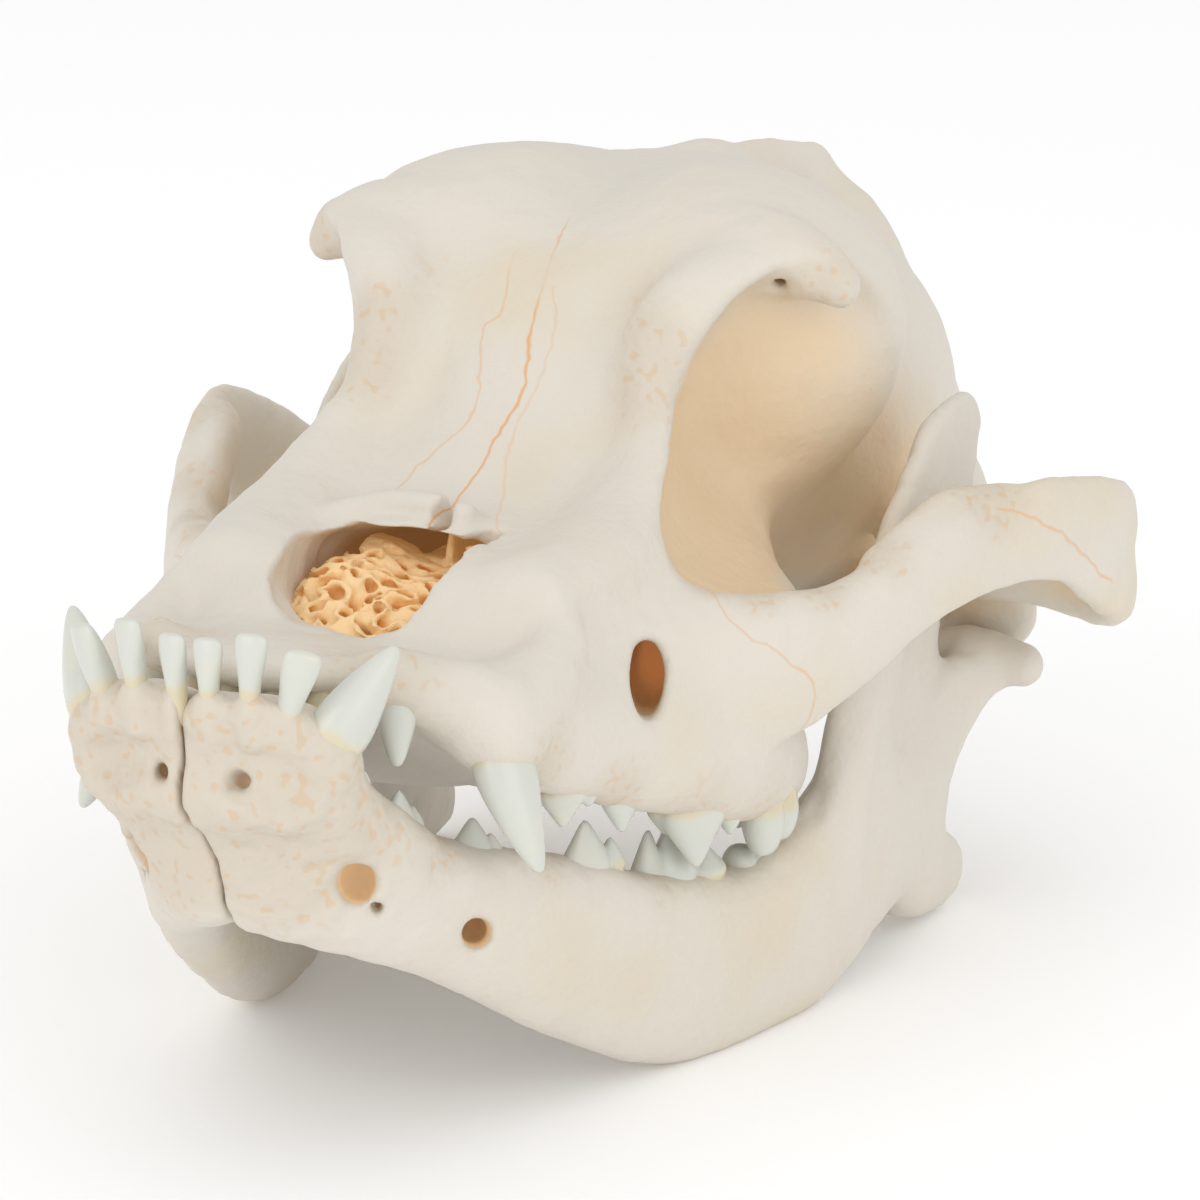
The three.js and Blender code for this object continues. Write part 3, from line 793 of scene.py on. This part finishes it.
ON_BOTH_SIDES = ("seam_cheek", "seam_arch")


# %% Zone marks
def zone_mark(piece, name, spots):
    """Each spot is x, y, z and how wide it spreads, alike on both sides."""
    points, _ = points_of(piece.data)
    points[:, 0] = np.abs(points[:, 0])
    value = np.zeros(len(points))
    for x, y, z, size in spots:
        value = value + np.exp(-((points - (x, y, z)) ** 2).sum(1) / size**2)
    mark(piece.data, name, np.minimum(value, 1))


POROUS_CRANIUM = [
    (52, 101, 62.5, 6), (45, 86, 57, 4), (41, 77, 56, 3.6), (36, 70, 57, 3.4), (31, 67, 60, 3.4),
    (28, 65, 65, 3), (33, 98, 87.5, 4), (15.4, 91, 83, 5), (17.8, 82, 82, 4), (18, 78, 76, 5),
    (24, 33, 46, 6), (27, 48, 38, 5), (30, 62, 34, 6), (32, 74, 31, 6), (12, 20, 56, 8),
]
POROUS_JAW = [
    (4, 4, 50, 14), (12, 10, 46, 9), (6, 8, 40, 9), (16, 24, 38, 5), (20, 40, 30, 5), (26, 60, 24, 5),
]
# Spots in the orbits, fossae and foramina where warm light through thin bone and shade are painted, with a
# faint glow.
PAINTED_LIGHT_CRANIUM = [
    (26, 124, 55, 15), (25, 104, 60, 15), (22, 90, 62, 13), (28, 78, 55, 9), (22, 104, 74, 12),
    (44, 110, 48, 8), (52, 128, 43, 7), (34, 120, 42, 13), (30, 140, 46, 12),
]
PAINTED_LIGHT_JAW = [(11, 16, 35, 4.6), (18.6, 30, 25.8, 4.6), (40, 127, 42, 8), (36, 112, 40, 5)]

# %% [markdown]
# A dog has four kinds of teeth. Incisors are small chisels, canines long bent cones, premolars and
# the carnassials blades with several cusps, and the last molars low and round. One profile is
# enough for each kind, as rings of a cone: the rise along the tooth, then the share of its length
# and of its width. The table gives each tooth its foot, the way its tip points, the way the row
# runs, and its cusps. A cusp has its place along and across the tooth, height, half length and
# half width. The last word is the profile, and the last number how far back the tip bends.

# %% The tooth table
SHAPES = {
    "incisor": [
        (-0.7, .58, .6), (-0.2, .62, .86), (0.05, .64, .94), (0.3, .74, 1),
        (0.55, .94, .88), (0.78, 1.04, .66), (0.94, .98, .44), (1, .6, .3),
    ],
    "peg": [
        (-0.6, .6, .6), (-0.15, .8, .85), (0.05, .92, 1), (0.25, .95, .96),
        (0.5, .78, .78), (0.78, .5, .5), (0.94, .3, .3), (1, .14, .14),
    ],
    "canine": [
        (-0.4, .6, .62), (-0.1, .86, .9), (0.02, .95, .98), (0.16, .98, 1), (0.4, .82, .86),
        (0.64, .6, .64), (0.84, .38, .42), (0.96, .2, .22), (1, .08, .09),
    ],
    "blade": [
        (-0.8, .6, .6), (-0.15, .82, .8), (0.04, .96, .95), (0.2, 1, 1),
        (0.42, .78, .74), (0.68, .46, .46), (0.88, .24, .26), (1, .08, .1),
    ],
    "low": [(-1.4, .55, .6), (-0.3, .8, .8), (0.1, 1, 1), (0.5, .96, .94), (0.85, .7, .66), (1, .36, .34)],
}
TEETH = [
    ("upper_incisor_1", (2.5, 15.5, 55), (0, -.2, -1), (1, .1, 0), [(0, 0, 5.4, 1.9, 1.5)], "incisor", 0),
    ("upper_incisor_2", (7.2, 16.6, 54.4), (0, -.2, -1), (1, .3, 0), [(0, 0, 5.8, 2.1, 1.7)], "incisor", 0),
    ("upper_incisor_3", (14.3, 20.8, 55.2), (.05, -.1, -1), (1, .7, 0), [(0, 0, 8.2, 2.6, 2.4)], "peg", 0),
    ("upper_canine", (22.6, 29, 47), (.42, -.22, -1), (.35, 1, 0), [(0, 0, 13.4, 4.1, 3.2)], "canine", 1.2),
    ("upper_premolar_1", (22.8, 36.8, 42.4), (0, 0, -1), (.3, 1, -.3), [(0, 0, 3, 1.8, 1.5)], "peg", 0),
    ("upper_premolar_2", (24.5, 43.4, 39.8), (0, 0, -1), (.6, 1, -.3),
     [(-1, 0, 5, 3.4, 1.9), (2.4, 0, 3.2, 2.3, 1.5)], "blade", 0),
    ("upper_premolar_3", (27, 53.4, 37), (0, 0, -1), (.25, 1, -.35),
     [(-1, 0, 5.2, 3.6, 1.9), (2.6, 0, 3.4, 2.3, 1.6)], "blade", 0),
    ("upper_premolar_4", (30.8, 66, 33), (.05, 0, -1), (.32, 1, -.35),
     [(-1.8, .3, 8.2, 5.6, 3), (4.8, 0, 6, 3.7, 2.6), (-5, -1.4, 3.8, 2.6, 2)], "blade", 0),
    ("upper_molar_1", (31.4, 80, 28.4), (.05, 0, -1), (.1, 1, -.35),
     [(-1.8, 2.2, 5.8, 3.3, 2.6), (2.2, 2.2, 5, 3.1, 2.5), (.4, -2.4, 3.4, 3.6, 3.1)], "low", 0),
    ("upper_molar_2", (29.4, 88.6, 26), (0, 0, -1), (0, 1, -.3), [(0, 0, 2.4, 2.2, 3)], "low", 0),
    ("lower_incisor_1", (1.9, 3, 58), (.04, -.1, 1), (1, .1, 0), [(0, 0, 6.2, 1.7, 1.4)], "incisor", 0),
    ("lower_incisor_2", (6.7, 3.3, 58.4), (.1, -.1, 1), (1, .2, 0), [(0, 0, 6.8, 1.8, 1.5)], "incisor", 0),
    ("lower_incisor_3", (10.8, 4.9, 56.6), (.36, -.14, 1), (1, .5, 0), [(0, 0, 7.4, 2.1, 1.8)], "incisor", 0),
    ("lower_canine", (14.3, 8.8, 53), (.5, .42, 1), (.6, 1, 0), [(0, 0, 11.6, 3.9, 3.1)], "canine", 0.6),
    ("lower_premolar_1", (12.9, 14.8, 44.8), (.05, .1, 1), (.2, 1, -.7), [(0, 0, 3, 1.7, 1.4)], "peg", 0),
    ("lower_premolar_2", (14.4, 21.2, 39.4), (0, .1, 1), (.25, 1, -.7),
     [(-.4, 0, 4.8, 3, 1.8), (2, 0, 2.8, 1.8, 1.4)], "blade", 0),
    ("lower_premolar_3", (17.8, 32.6, 33.6), (0, .1, 1), (.3, 1, -.5),
     [(-.6, 0, 4.8, 3.6, 1.9), (2.6, 0, 2.6, 1.9, 1.4)], "blade", 0),
    ("lower_premolar_4", (23.7, 50, 27.2), (0, 0, 1), (.3, 1, -.35),
     [(-.6, 0, 6.8, 4.4, 2.2), (3.8, 0, 3.8, 2.3, 1.7), (-4, 0, 3, 2, 1.5)], "blade", 0),
    ("lower_molar_1", (27.6, 66.4, 21.8), (0, 0, 1), (.28, 1, -.15),
     [(-1.2, 0, 8.4, 4.2, 2.7), (-5, -.3, 8, 3.2, 2.2), (5, 0, 3.8, 3.4, 2.6)], "blade", 0),
    ("lower_molar_2", (30.4, 79.8, 20.4), (0, 0, 1), (.2, 1, .05),
     [(-.8, 0, 3, 2.4, 2.3), (1.4, 0, 2.4, 1.9, 2.1)], "low", 0),
    ("lower_molar_3", (31.6, 86.6, 21.6), (0, 0, 1), (.15, 1, .1), [(0, 0, 1.8, 1.7, 1.5)], "low", 0),
]
print("teeth on each side:", len(TEETH))

# %% [markdown]
# Every tooth has its own axes: up to the tip, along the row, and outwards. They are worked out
# from the table and turned round for the right side, which is safer than scaling a copy by -1,
# because a negative scale turns the faces inside out.

# %% Axes of a tooth
def tooth_axes(foot, tip, along, side):
    tip = Vector((tip[0] * side, tip[1], tip[2])).normalized()
    along = Vector((along[0] * side, along[1], along[2]))
    along = (along - tip * along.dot(tip)).normalized()
    out = Vector((side, 0, 0))
    out = out - tip * out.dot(tip)
    out = out - along * out.dot(along)
    out = out.normalized() if out.length > 0.3 else tip.cross(along) * side
    return Vector((foot[0] * side, foot[1], foot[2])), tip, along, out


# %% [markdown]
# A cusp starts as a ring of a few points round its root. The ring is extruded along the tooth
# and each new ring is widened or narrowed: a neck, a swelling above it, then the taper to the
# tip. A cone primitive would be quicker, but it has no neck and no swelling.

# %% Rings of a cusp
def cone_of_rings(bm, axes, cusp, shape, bend):
    foot, tip, along, out = axes
    place, sideways, height, half_length, half_width = cusp
    ring = bmesh.ops.create_circle(bm, cap_ends=True, radius=1, segments=12)["verts"]
    local = {v: v.co.copy() for v in ring}
    edges = list({e for v in ring for e in v.link_edges if e.other_vert(v) in local})
    levels = SHAPES[shape]

    def lay(local_points, level):
        rise, length_share, width_share = level
        sway = bend * max(rise, 0) ** 2
        for v, flat in local_points.items():
            v.co = (
                foot + along * (place + sway + flat.x * half_length * length_share)
                + out * (sideways + flat.y * half_width * width_share) + tip * (rise * height)
            )

    lay(local, levels[0])
    for level in levels[1:]:
        grown = bmesh.ops.extrude_edge_only(bm, edges=edges)["geom"]
        verts = [g for g in grown if isinstance(g, bmesh.types.BMVert)]
        old = {v: next(e.other_vert(v) for e in v.link_edges if e.other_vert(v) in local) for v in verts}
        local = {v: local[old[v]] for v in verts}
        edges = [g for g in grown if isinstance(g, bmesh.types.BMEdge) and all(v in local for v in g.verts)]
        lay(local, level)
    bmesh.ops.contextual_create(bm, geom=edges)


def solid_mesh(bm, name):
    """An object from a bmesh in millimetres."""
    bmesh.ops.recalc_face_normals(bm, faces=bm.faces)
    for v in bm.verts:
        v.co = Vector((v.co.x, v.co.y - MIDDLE_Y, v.co.z)) / 1000
    mesh = bpy.data.meshes.new(name)
    bm.to_mesh(mesh)
    bm.free()
    piece = bpy.data.objects.new(name, mesh)
    bpy.context.scene.collection.objects.link(piece)
    return piece


# %% [markdown]
# Subdivision makes the enamel smooth. A cheek tooth is several cones that stand in each other. A
# voxel remesh melts them into one closed skin, and a Smooth modifier rounds the valleys between
# the cusps. A Boolean union would leave them sharp.

# %% Cut one tooth
def tooth(name, foot, tip, along, cusps, shape, bend, side):
    axes = tooth_axes(foot, tip, along, side)
    bm = bmesh.new()
    for cusp in cusps:
        cone_of_rings(bm, axes, cusp, shape, bend)
    piece = solid_mesh(bm, name)
    smooth = piece.modifiers.new("round", "SUBSURF")
    smooth.levels = smooth.render_levels = 2
    if len(cusps) > 1:
        melt = piece.modifiers.new("melt", "REMESH")
        melt.mode = "VOXEL"
        melt.voxel_size = 0.0003
        relax = piece.modifiers.new("relax", "SMOOTH")
        relax.factor, relax.iterations = 0.5, 8
    settle(piece)
    piece.data.shade_smooth()
    points, _ = points_of(piece.data)
    mark(piece.data, "rise", (points - np.array(axes[0])) @ np.array(axes[1]))
    return piece


# %% [markdown]
# This jaw is not quite even: its front stands a little over one millimetre to the right of the
# middle. The front teeth are moved with it, and both halves of the bone are shaped to suit.

# %% Make every tooth
FRONT_SHIFT = 1.3
FRONT_END = 12
teeth = []
for side, word in ((1, "left"), (-1, "right")):
    for name, foot, tip, along, cusps, shape, bend in TEETH:
        if name.startswith("lower") and foot[1] < FRONT_END:
            share = min(1, max(0.4, foot[0] / 12))
            foot = (foot[0] - FRONT_SHIFT * side * share, foot[1], foot[2])
        piece = tooth(f"enamel_{name}_{word}", foot, tip, along, cusps, shape, bend, side)
        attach(piece, "root")
        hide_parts(f"{name}_{word}")
        teeth.append(piece)
note(f"{len(teeth)} teeth")

# %% [markdown]
# All forms are in the clay now, so the skin can be taken off. The cranium and the lace bone in
# its nose are two meshes, because the lace needs much smaller faces. They ride together.

# %% Make the cranium
CRANIUM_FACES, LACE_FACES, JAW_FACES = 190000, 180000, 150000
bones = []
hills = 0.3 * swellings(cranium_clay.axes, 9, 3)
cranium_clay.depth += hills + 0.12 * swellings(cranium_clay.axes, 2.6, 4)
skull_bone = surface(cranium_clay, "bone_cranium", CRANIUM_FACES)
mark_shelter(skull_bone, cranium_clay)
for name, line in SEAMS.items():
    seam_mark(skull_bone, name, line, name in ON_BOTH_SIDES)
zone_mark(skull_bone, "porous", POROUS_CRANIUM)
zone_mark(skull_bone, "painted_warm_light", PAINTED_LIGHT_CRANIUM)
bones.append((skull_bone, "cranium"))
note(f"cranium, {len(skull_bone.data.polygons)} faces")

lace_bone = surface(lace_clay, "bone_nose_lace", LACE_FACES)
mark_shelter(lace_bone, lace_clay, wide=3, fine=1.2)
bones.append((lace_bone, "cranium"))
note(f"lace bone, {len(lace_bone.data.polygons)} faces")

# %% [markdown]
# Both jaw halves are worked on the left side. The right one is turned over as clay, so its faces
# come out the right way round, and each half keeps its own seed for the grain.

# %% Make the jaw halves
for side, word in ((1, "left"), (-1, "right")):
    jaw_clay = jaw_half(side)
    finish_jaw(jaw_clay, 50 + side, side)
    if side < 0:
        jaw_clay.depth = jaw_clay.depth[::-1].copy()
        jaw_clay.low = np.array([-jaw_clay.axes[0][-1], jaw_clay.low[1], jaw_clay.low[2]])
    jaw = surface(jaw_clay, f"bone_mandible_{word}", JAW_FACES)
    mark_shelter(jaw, jaw_clay)
    zone_mark(jaw, "porous", POROUS_JAW)
    zone_mark(jaw, "painted_warm_light", PAINTED_LIGHT_JAW)
    bones.append((jaw, f"mandible_{word}"))
    note(f"{jaw.name}, {len(jaw.data.polygons)} faces")

# %% Fasten the bones
for piece, node in bones:
    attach(piece, "root")
    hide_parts(node)

# %% [markdown]
# The finishes are painted by nodes, from the marks on the meshes and from noise on object
# coordinates, so no picture is needed and each pattern stays on its bone. Shader nodes take many
# lines to lay out. A few short helpers, one for each kind of node, keep the finishes readable.

# %% Node helpers
class Nodes:
    """Short ways to lay out shader nodes."""

    def __init__(self, name):
        self.material = bpy.data.materials.new(name)
        self.material.use_nodes = True
        self.tree = self.material.node_tree
        self.shader = self.tree.nodes["Principled BSDF"]
        self.place = self.tree.nodes.new("ShaderNodeTexCoord").outputs["Object"]

    def link(self, out, into):
        self.tree.links.new(out, into)

    def put(self, value, socket):
        if isinstance(value, bpy.types.NodeSocket):
            self.link(value, socket)
        else:
            socket.default_value = value

    def mark(self, name):
        node = self.tree.nodes.new("ShaderNodeAttribute")
        node.attribute_name = name
        return node.outputs["Fac"]

    def mark_pair(self, name):
        node = self.tree.nodes.new("ShaderNodeAttribute")
        node.attribute_name = name
        parts = self.tree.nodes.new("ShaderNodeSeparateXYZ")
        self.link(node.outputs["Vector"], parts.inputs[0])
        return parts.outputs["X"], parts.outputs["Y"]

    def math(self, operation, *values):
        node = self.tree.nodes.new("ShaderNodeMath")
        node.operation = operation
        for value, socket in zip(values, node.inputs):
            self.put(value, socket)
        return node.outputs[0]

    def noise(self, scale, detail=2.0, rough=0.5):
        node = self.tree.nodes.new("ShaderNodeTexNoise")
        self.link(self.place, node.inputs["Vector"])
        node.inputs["Scale"].default_value = scale
        node.inputs["Detail"].default_value = detail
        node.inputs["Roughness"].default_value = rough
        return node.outputs["Fac"]

    def fade(self, value, low, high, to_low=0.0, to_high=1.0):
        """A soft step of a number from one range to another."""
        node = self.tree.nodes.new("ShaderNodeMapRange")
        node.interpolation_type = "SMOOTHSTEP"
        self.link(value, node.inputs["Value"])
        ends = {"From Min": low, "From Max": high, "To Min": to_low, "To Max": to_high}
        for socket, number in ends.items():
            node.inputs[socket].default_value = number
        return node.outputs["Result"]

    def mix(self, share, first, second):
        node = self.tree.nodes.new("ShaderNodeMix")
        node.data_type = "RGBA"
        self.put(share, node.inputs["Factor"])
        self.put(first, node.inputs["A"])
        self.put(second, node.inputs["B"])
        return node.outputs["Result"]

    def ramp(self, value, stops):
        node = self.tree.nodes.new("ShaderNodeValToRGB")
        self.link(value, node.inputs["Fac"])
        line = node.color_ramp
        while len(line.elements) < len(stops):
            line.elements.new(0.5)
        for element, (place, colour) in zip(line.elements, stops):
            element.position = place
            element.color = colour
        return node.outputs["Color"]

    def bump(self, height, depth):
        """Relief in the shading only, as deep as `depth` metres."""
        node = self.tree.nodes.new("ShaderNodeBump")
        node.inputs["Distance"].default_value = depth
        self.link(height, node.inputs["Height"])
        self.link(node.outputs["Normal"], self.shader.inputs["Normal"])


def colour(r, g, b):
    """A shade as seen on a screen, 0 to 255, made linear for the shader."""
    return tuple(((c / 255 + 0.055) / 1.055) ** 2.4 if c > 10 else c / 3294 for c in (r, g, b)) + (1.0,)


# %% [markdown]
# Clean bone is a warm ivory with a dull sheen. Broad clouds make it creamy in one place and chalky
# in another, and porous bone has brown specks. Light that goes into real bone comes out warm in the
# hollows. Subsurface scattering would show that, but it is slow on such large meshes, so it is
# painted as shade and warm light: the colour turns cream where the bone is sheltered, tan in the
# orbits and amber deep in the canals, small pits get a painted shade, and the warm zones and the
# deep places glow very faintly. Their glow is not sampled as a lamp.

# %% Bone finish
# Ivory is the bone's own colour; the three after it are painted shade and warm scattered light for ever
# deeper hollows.
IVORY = colour(217, 210, 198)
PAINTED_HOLLOW_CREAM = colour(224, 202, 164)
PAINTED_HOLLOW_AMBER = colour(220, 172, 112)
PAINTED_HOLLOW_ORANGE = colour(206, 138, 72)


def suture_lines(n, seams):
    """Thin wavering lines along the seam marks, each with its half width and strength."""
    wobble = n.math("MULTIPLY", n.math("SUBTRACT", n.noise(420, 1), 0.5), 1.1)
    lines = None
    for seam, width, strength in seams:
        sideways, reach = n.mark_pair(seam)
        gap = n.math("ABSOLUTE", n.math("ADD", sideways, wobble))
        near = n.fade(reach, 2.0, 3.4, 1.0, 0.0)
        line = n.math("MULTIPLY", n.fade(gap, 0.0, width, strength, 0.0), near)
        lines = line if lines is None else n.math("MAXIMUM", lines, line)
    return lines


def bone_finish(name, seams=(), opens=(0.14, 0.36), glow=0.07):
    """`opens` is the shelter at which a warm zone starts and is full, `glow` its faint light."""
    n = Nodes(name)
    shelter, pit, porous, drift = [n.mark(word) for word in ("shelter", "pit", "porous", "drift")]
    painted_warm_light = n.math("MULTIPLY", n.mark("painted_warm_light"), n.fade(shelter, *opens))
    # Painted shade and warm scattered light: the more sheltered a point, the warmer and darker its colour.
    depth = n.math("ADD", shelter, n.math("MULTIPLY", drift, 0.05))
    base = n.ramp(depth, [(0.40, IVORY), (0.54, IVORY), (0.66, PAINTED_HOLLOW_CREAM), (0.80, PAINTED_HOLLOW_AMBER), (0.93, PAINTED_HOLLOW_ORANGE)])
    base = n.mix(n.fade(drift, 0.05, 0.7, 0.0, 0.5), base, colour(216, 201, 172))
    base = n.mix(n.fade(drift, -0.7, -0.1, 0.35, 0.0), base, colour(212, 208, 198))
    # Painted shade in small pits, from the fine shelter mark.
    base = n.mix(n.fade(pit, 0.66, 0.86, 0.0, 0.55), base, colour(216, 158, 92))
    grain = n.noise(820, 0)
    speck = n.math("MULTIPLY", n.fade(grain, 0.6, 0.74), n.fade(porous, 0.15, 0.8))
    base = n.mix(n.math("MULTIPLY", speck, 0.4), base, colour(216, 170, 112))
    base = n.mix(n.fade(porous, 0.1, 1.0, 0.0, 0.4), base, colour(198, 182, 158))
    # Painted warm light and shade in the marked hollows, only where they are sheltered.
    base = n.mix(n.fade(painted_warm_light, 0.0, 0.9, 0.0, 0.85), base, colour(218, 194, 160))
    if seams:
        base = n.mix(suture_lines(n, seams), base, colour(222, 160, 96))
    n.link(base, n.shader.inputs["Base Color"])
    # A faint painted glow in the deepest hollows and the warm zones, standing in for light scattered through
    # the bone.
    deep = n.fade(shelter, 0.74, 0.96)
    n.link(n.mix(deep, colour(238, 200, 152), colour(232, 160, 84)), n.shader.inputs["Emission Color"])
    light = n.math("MAXIMUM", n.fade(painted_warm_light, 0.1, 0.9, 0.0, glow), n.math("MULTIPLY", deep, 0.26))
    n.link(light, n.shader.inputs["Emission Strength"])
    n.shader.inputs["Roughness"].default_value = 0.5
    n.shader.inputs["Specular IOR Level"].default_value = 0.35
    pores = n.math("MULTIPLY", grain, n.fade(porous, 0.1, 0.9, 0.0, -0.9))
    n.bump(n.math("ADD", n.noise(520, 2, 0.6), pores), 0.0002)
    n.material.cycles.emission_sampling = "NONE"
    return n.material


skull_finish = bone_finish("bone_ivory", [
    ("seam_nose", 0.32, 0.8), ("seam_nose_right", 0.3, 0.4), ("seam_nose_left", 0.3, 0.25),
    ("seam_cheek", 0.3, 0.4), ("seam_arch", 0.4, 0.45),
])
jaw_finish = bone_finish("bone_jaw", opens=(0.3, 0.5), glow=0.24)
print("bone nodes:", len(skull_finish.node_tree.nodes), len(jaw_finish.node_tree.nodes))

# %% [markdown]
# The lace bone is so thin that light passes through it, and it has kept more of its colour. It
# goes from straw at the tips of its leaves to orange brown deep between them, by the same shelter
# mark, measured over a smaller reach: the orange brown is painted shade and light scattered in the
# thin leaves. A faint even painted glow stands for the light that passes through.

# %% Lace finish
def lace_finish():
    n = Nodes("bone_lace")
    mottle = n.math("MULTIPLY", n.math("SUBTRACT", n.noise(300, 2), 0.5), 0.2)
    depth = n.math("ADD", n.mark("shelter"), mottle)
    shades = [(0.2, colour(238, 206, 156)), (0.45, colour(228, 180, 118)), (0.75, colour(206, 136, 66))]
    # Painted shade and scattered warm light, deeper between the leaves.
    base = n.ramp(depth, shades)
    n.link(base, n.shader.inputs["Base Color"])
    n.shader.inputs["Roughness"].default_value = 0.5
    # A faint even painted glow for the light that passes through the thin leaves.
    n.shader.inputs["Emission Color"].default_value = colour(240, 180, 110)
    n.shader.inputs["Emission Strength"].default_value = 0.12
    n.bump(n.noise(900, 1), 0.0003)
    n.material.cycles.emission_sampling = "NONE"
    return n.material


# %% [markdown]
# Enamel is whiter and shinier than bone, and a little yellow at the neck, where it is thin. The
# mark `rise` is the height over the foot of the tooth. A noise added to it makes the edge of the
# yellow uneven.

# %% Enamel finish
def enamel_finish():
    n = Nodes("enamel")
    streak = n.noise(180, 2, 0.6)
    uneven = n.math("MULTIPLY", n.math("SUBTRACT", streak, 0.5), 2.4)
    height = n.math("ADD", n.mark("rise"), uneven)
    base = n.mix(n.fade(height, -0.2, 1.6, 0.6, 0.0), colour(208, 210, 201), colour(218, 198, 150))
    base = n.mix(n.fade(streak, 0.5, 0.8, 0.0, 0.4), base, colour(220, 214, 192))
    n.link(base, n.shader.inputs["Base Color"])
    n.shader.inputs["Roughness"].default_value = 0.24
    n.bump(streak, 0.00012)
    return n.material


# %% [markdown]
# Every piece gets one finish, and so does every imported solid. The solids are hidden behind the
# finer pieces, but they are carried along and should not be grey if someone shows them.

# %% Put the finishes on
def paint(piece, finish):
    piece.data.materials.clear()
    piece.data.materials.append(finish)


finishes = {"bone_cranium": skull_finish, "bone_nose_lace": lace_finish()}
enamel = enamel_finish()
for piece, _ in bones:
    paint(piece, finishes.get(piece.name, jaw_finish))
for piece in teeth:
    paint(piece, enamel)
for node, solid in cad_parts.items():
    paint(solid, jaw_finish if "mandible" in node or node == "cranium" else enamel)
print("finishes:", [m.name for m in bpy.data.materials])

# %% [markdown]
# The photograph shows the skull from its left front and a little from above, with a long lens.
# The camera stands at the same place. Its three axes are given outright, because a camera that
# only tracks a target can't be rolled to match a picture. The plain Standard view keeps white
# bone as white as it was set.

# %% Camera
FOCAL_LENGTH_MM = 151.224
CAMERA_PLACE = (0.240753, -0.531616, 0.202719)
CAMERA_RIGHT = (0.915097, 0.403202, 0.00503)
CAMERA_TOP = (-0.108551, 0.234311, 0.966082)
CAMERA_BACK = (0.388348, -0.884605, 0.258185)
lens = bpy.data.cameras.new("camera")
lens.lens = FOCAL_LENGTH_MM
lens.sensor_width = 36
lens.clip_start = 0.01
camera = bpy.data.objects.new("camera", lens)
bpy.context.scene.collection.objects.link(camera)
turn = Matrix((CAMERA_RIGHT, CAMERA_TOP, CAMERA_BACK)).transposed().to_4x4()
camera.matrix_world = Matrix.Translation(CAMERA_PLACE) @ turn
bpy.context.scene.camera = camera
bpy.context.scene.view_settings.view_transform = "Standard"
print("camera:", tuple(round(v, 3) for v in camera.matrix_world.translation))

# %% [markdown]
# A white floor and three wide soft lamps give the even, nearly shadowless light of a museum
# picture. Small lamps would draw hard shadows in the orbits. Most of the light comes from the
# white sky, and the lamps only model the form.

# %% Floor
bm = bmesh.new()
bmesh.ops.create_grid(bm, x_segments=1, y_segments=1, size=6)
floor_mesh = bpy.data.meshes.new("floor")
bm.to_mesh(floor_mesh)
bm.free()
floor = bpy.data.objects.new("floor", floor_mesh)
bpy.context.scene.collection.objects.link(floor)
paper = Nodes("white_paper")
white = paper.mix(paper.noise(3, 0), colour(252, 252, 252), colour(250, 250, 250))
paper.link(white, paper.shader.inputs["Base Color"])
paper.material.cycles.emission_sampling = "NONE"
paper.shader.inputs["Roughness"].default_value = 0.9
paper.shader.inputs["Specular IOR Level"].default_value = 0.1
paper.shader.inputs["Emission Color"].default_value = (1, 1, 1, 1)
paper.shader.inputs["Emission Strength"].default_value = 0.1
floor_mesh.materials.append(paper.material)

# %% Lamps and sky
LAMP_TARGET = Vector((0, 0, 0.05))
SKY_STRENGTH = 0.85


def soft_lamp(name, place, size, watts):
    lamp = bpy.data.lights.new(name, "AREA")
    lamp.shape = "SQUARE"
    lamp.size = size
    lamp.energy = watts
    stand = bpy.data.objects.new(name, lamp)
    bpy.context.scene.collection.objects.link(stand)
    stand.location = place
    aim = LAMP_TARGET - Vector(place)
    stand.rotation_euler = aim.to_track_quat("-Z", "Y").to_euler()


soft_lamp("lamp_over", (0.1, -0.2, 1.3), 1.4, 0.7)
soft_lamp("lamp_front", (-0.3, -1.3, 0.6), 1.0, 4)
soft_lamp("lamp_side", (1.2, -0.6, 0.5), 1.0, 3)
world = bpy.data.worlds.new("studio")
world.use_nodes = True
sky = world.node_tree.nodes["Background"].inputs
sky["Color"].default_value = (1, 1, 1, 1)
sky["Strength"].default_value = SKY_STRENGTH
bpy.context.scene.world = world
print("lamps:", len(bpy.data.lights), "sky:", SKY_STRENGTH)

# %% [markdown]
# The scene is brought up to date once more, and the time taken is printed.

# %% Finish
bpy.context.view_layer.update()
note("finished")
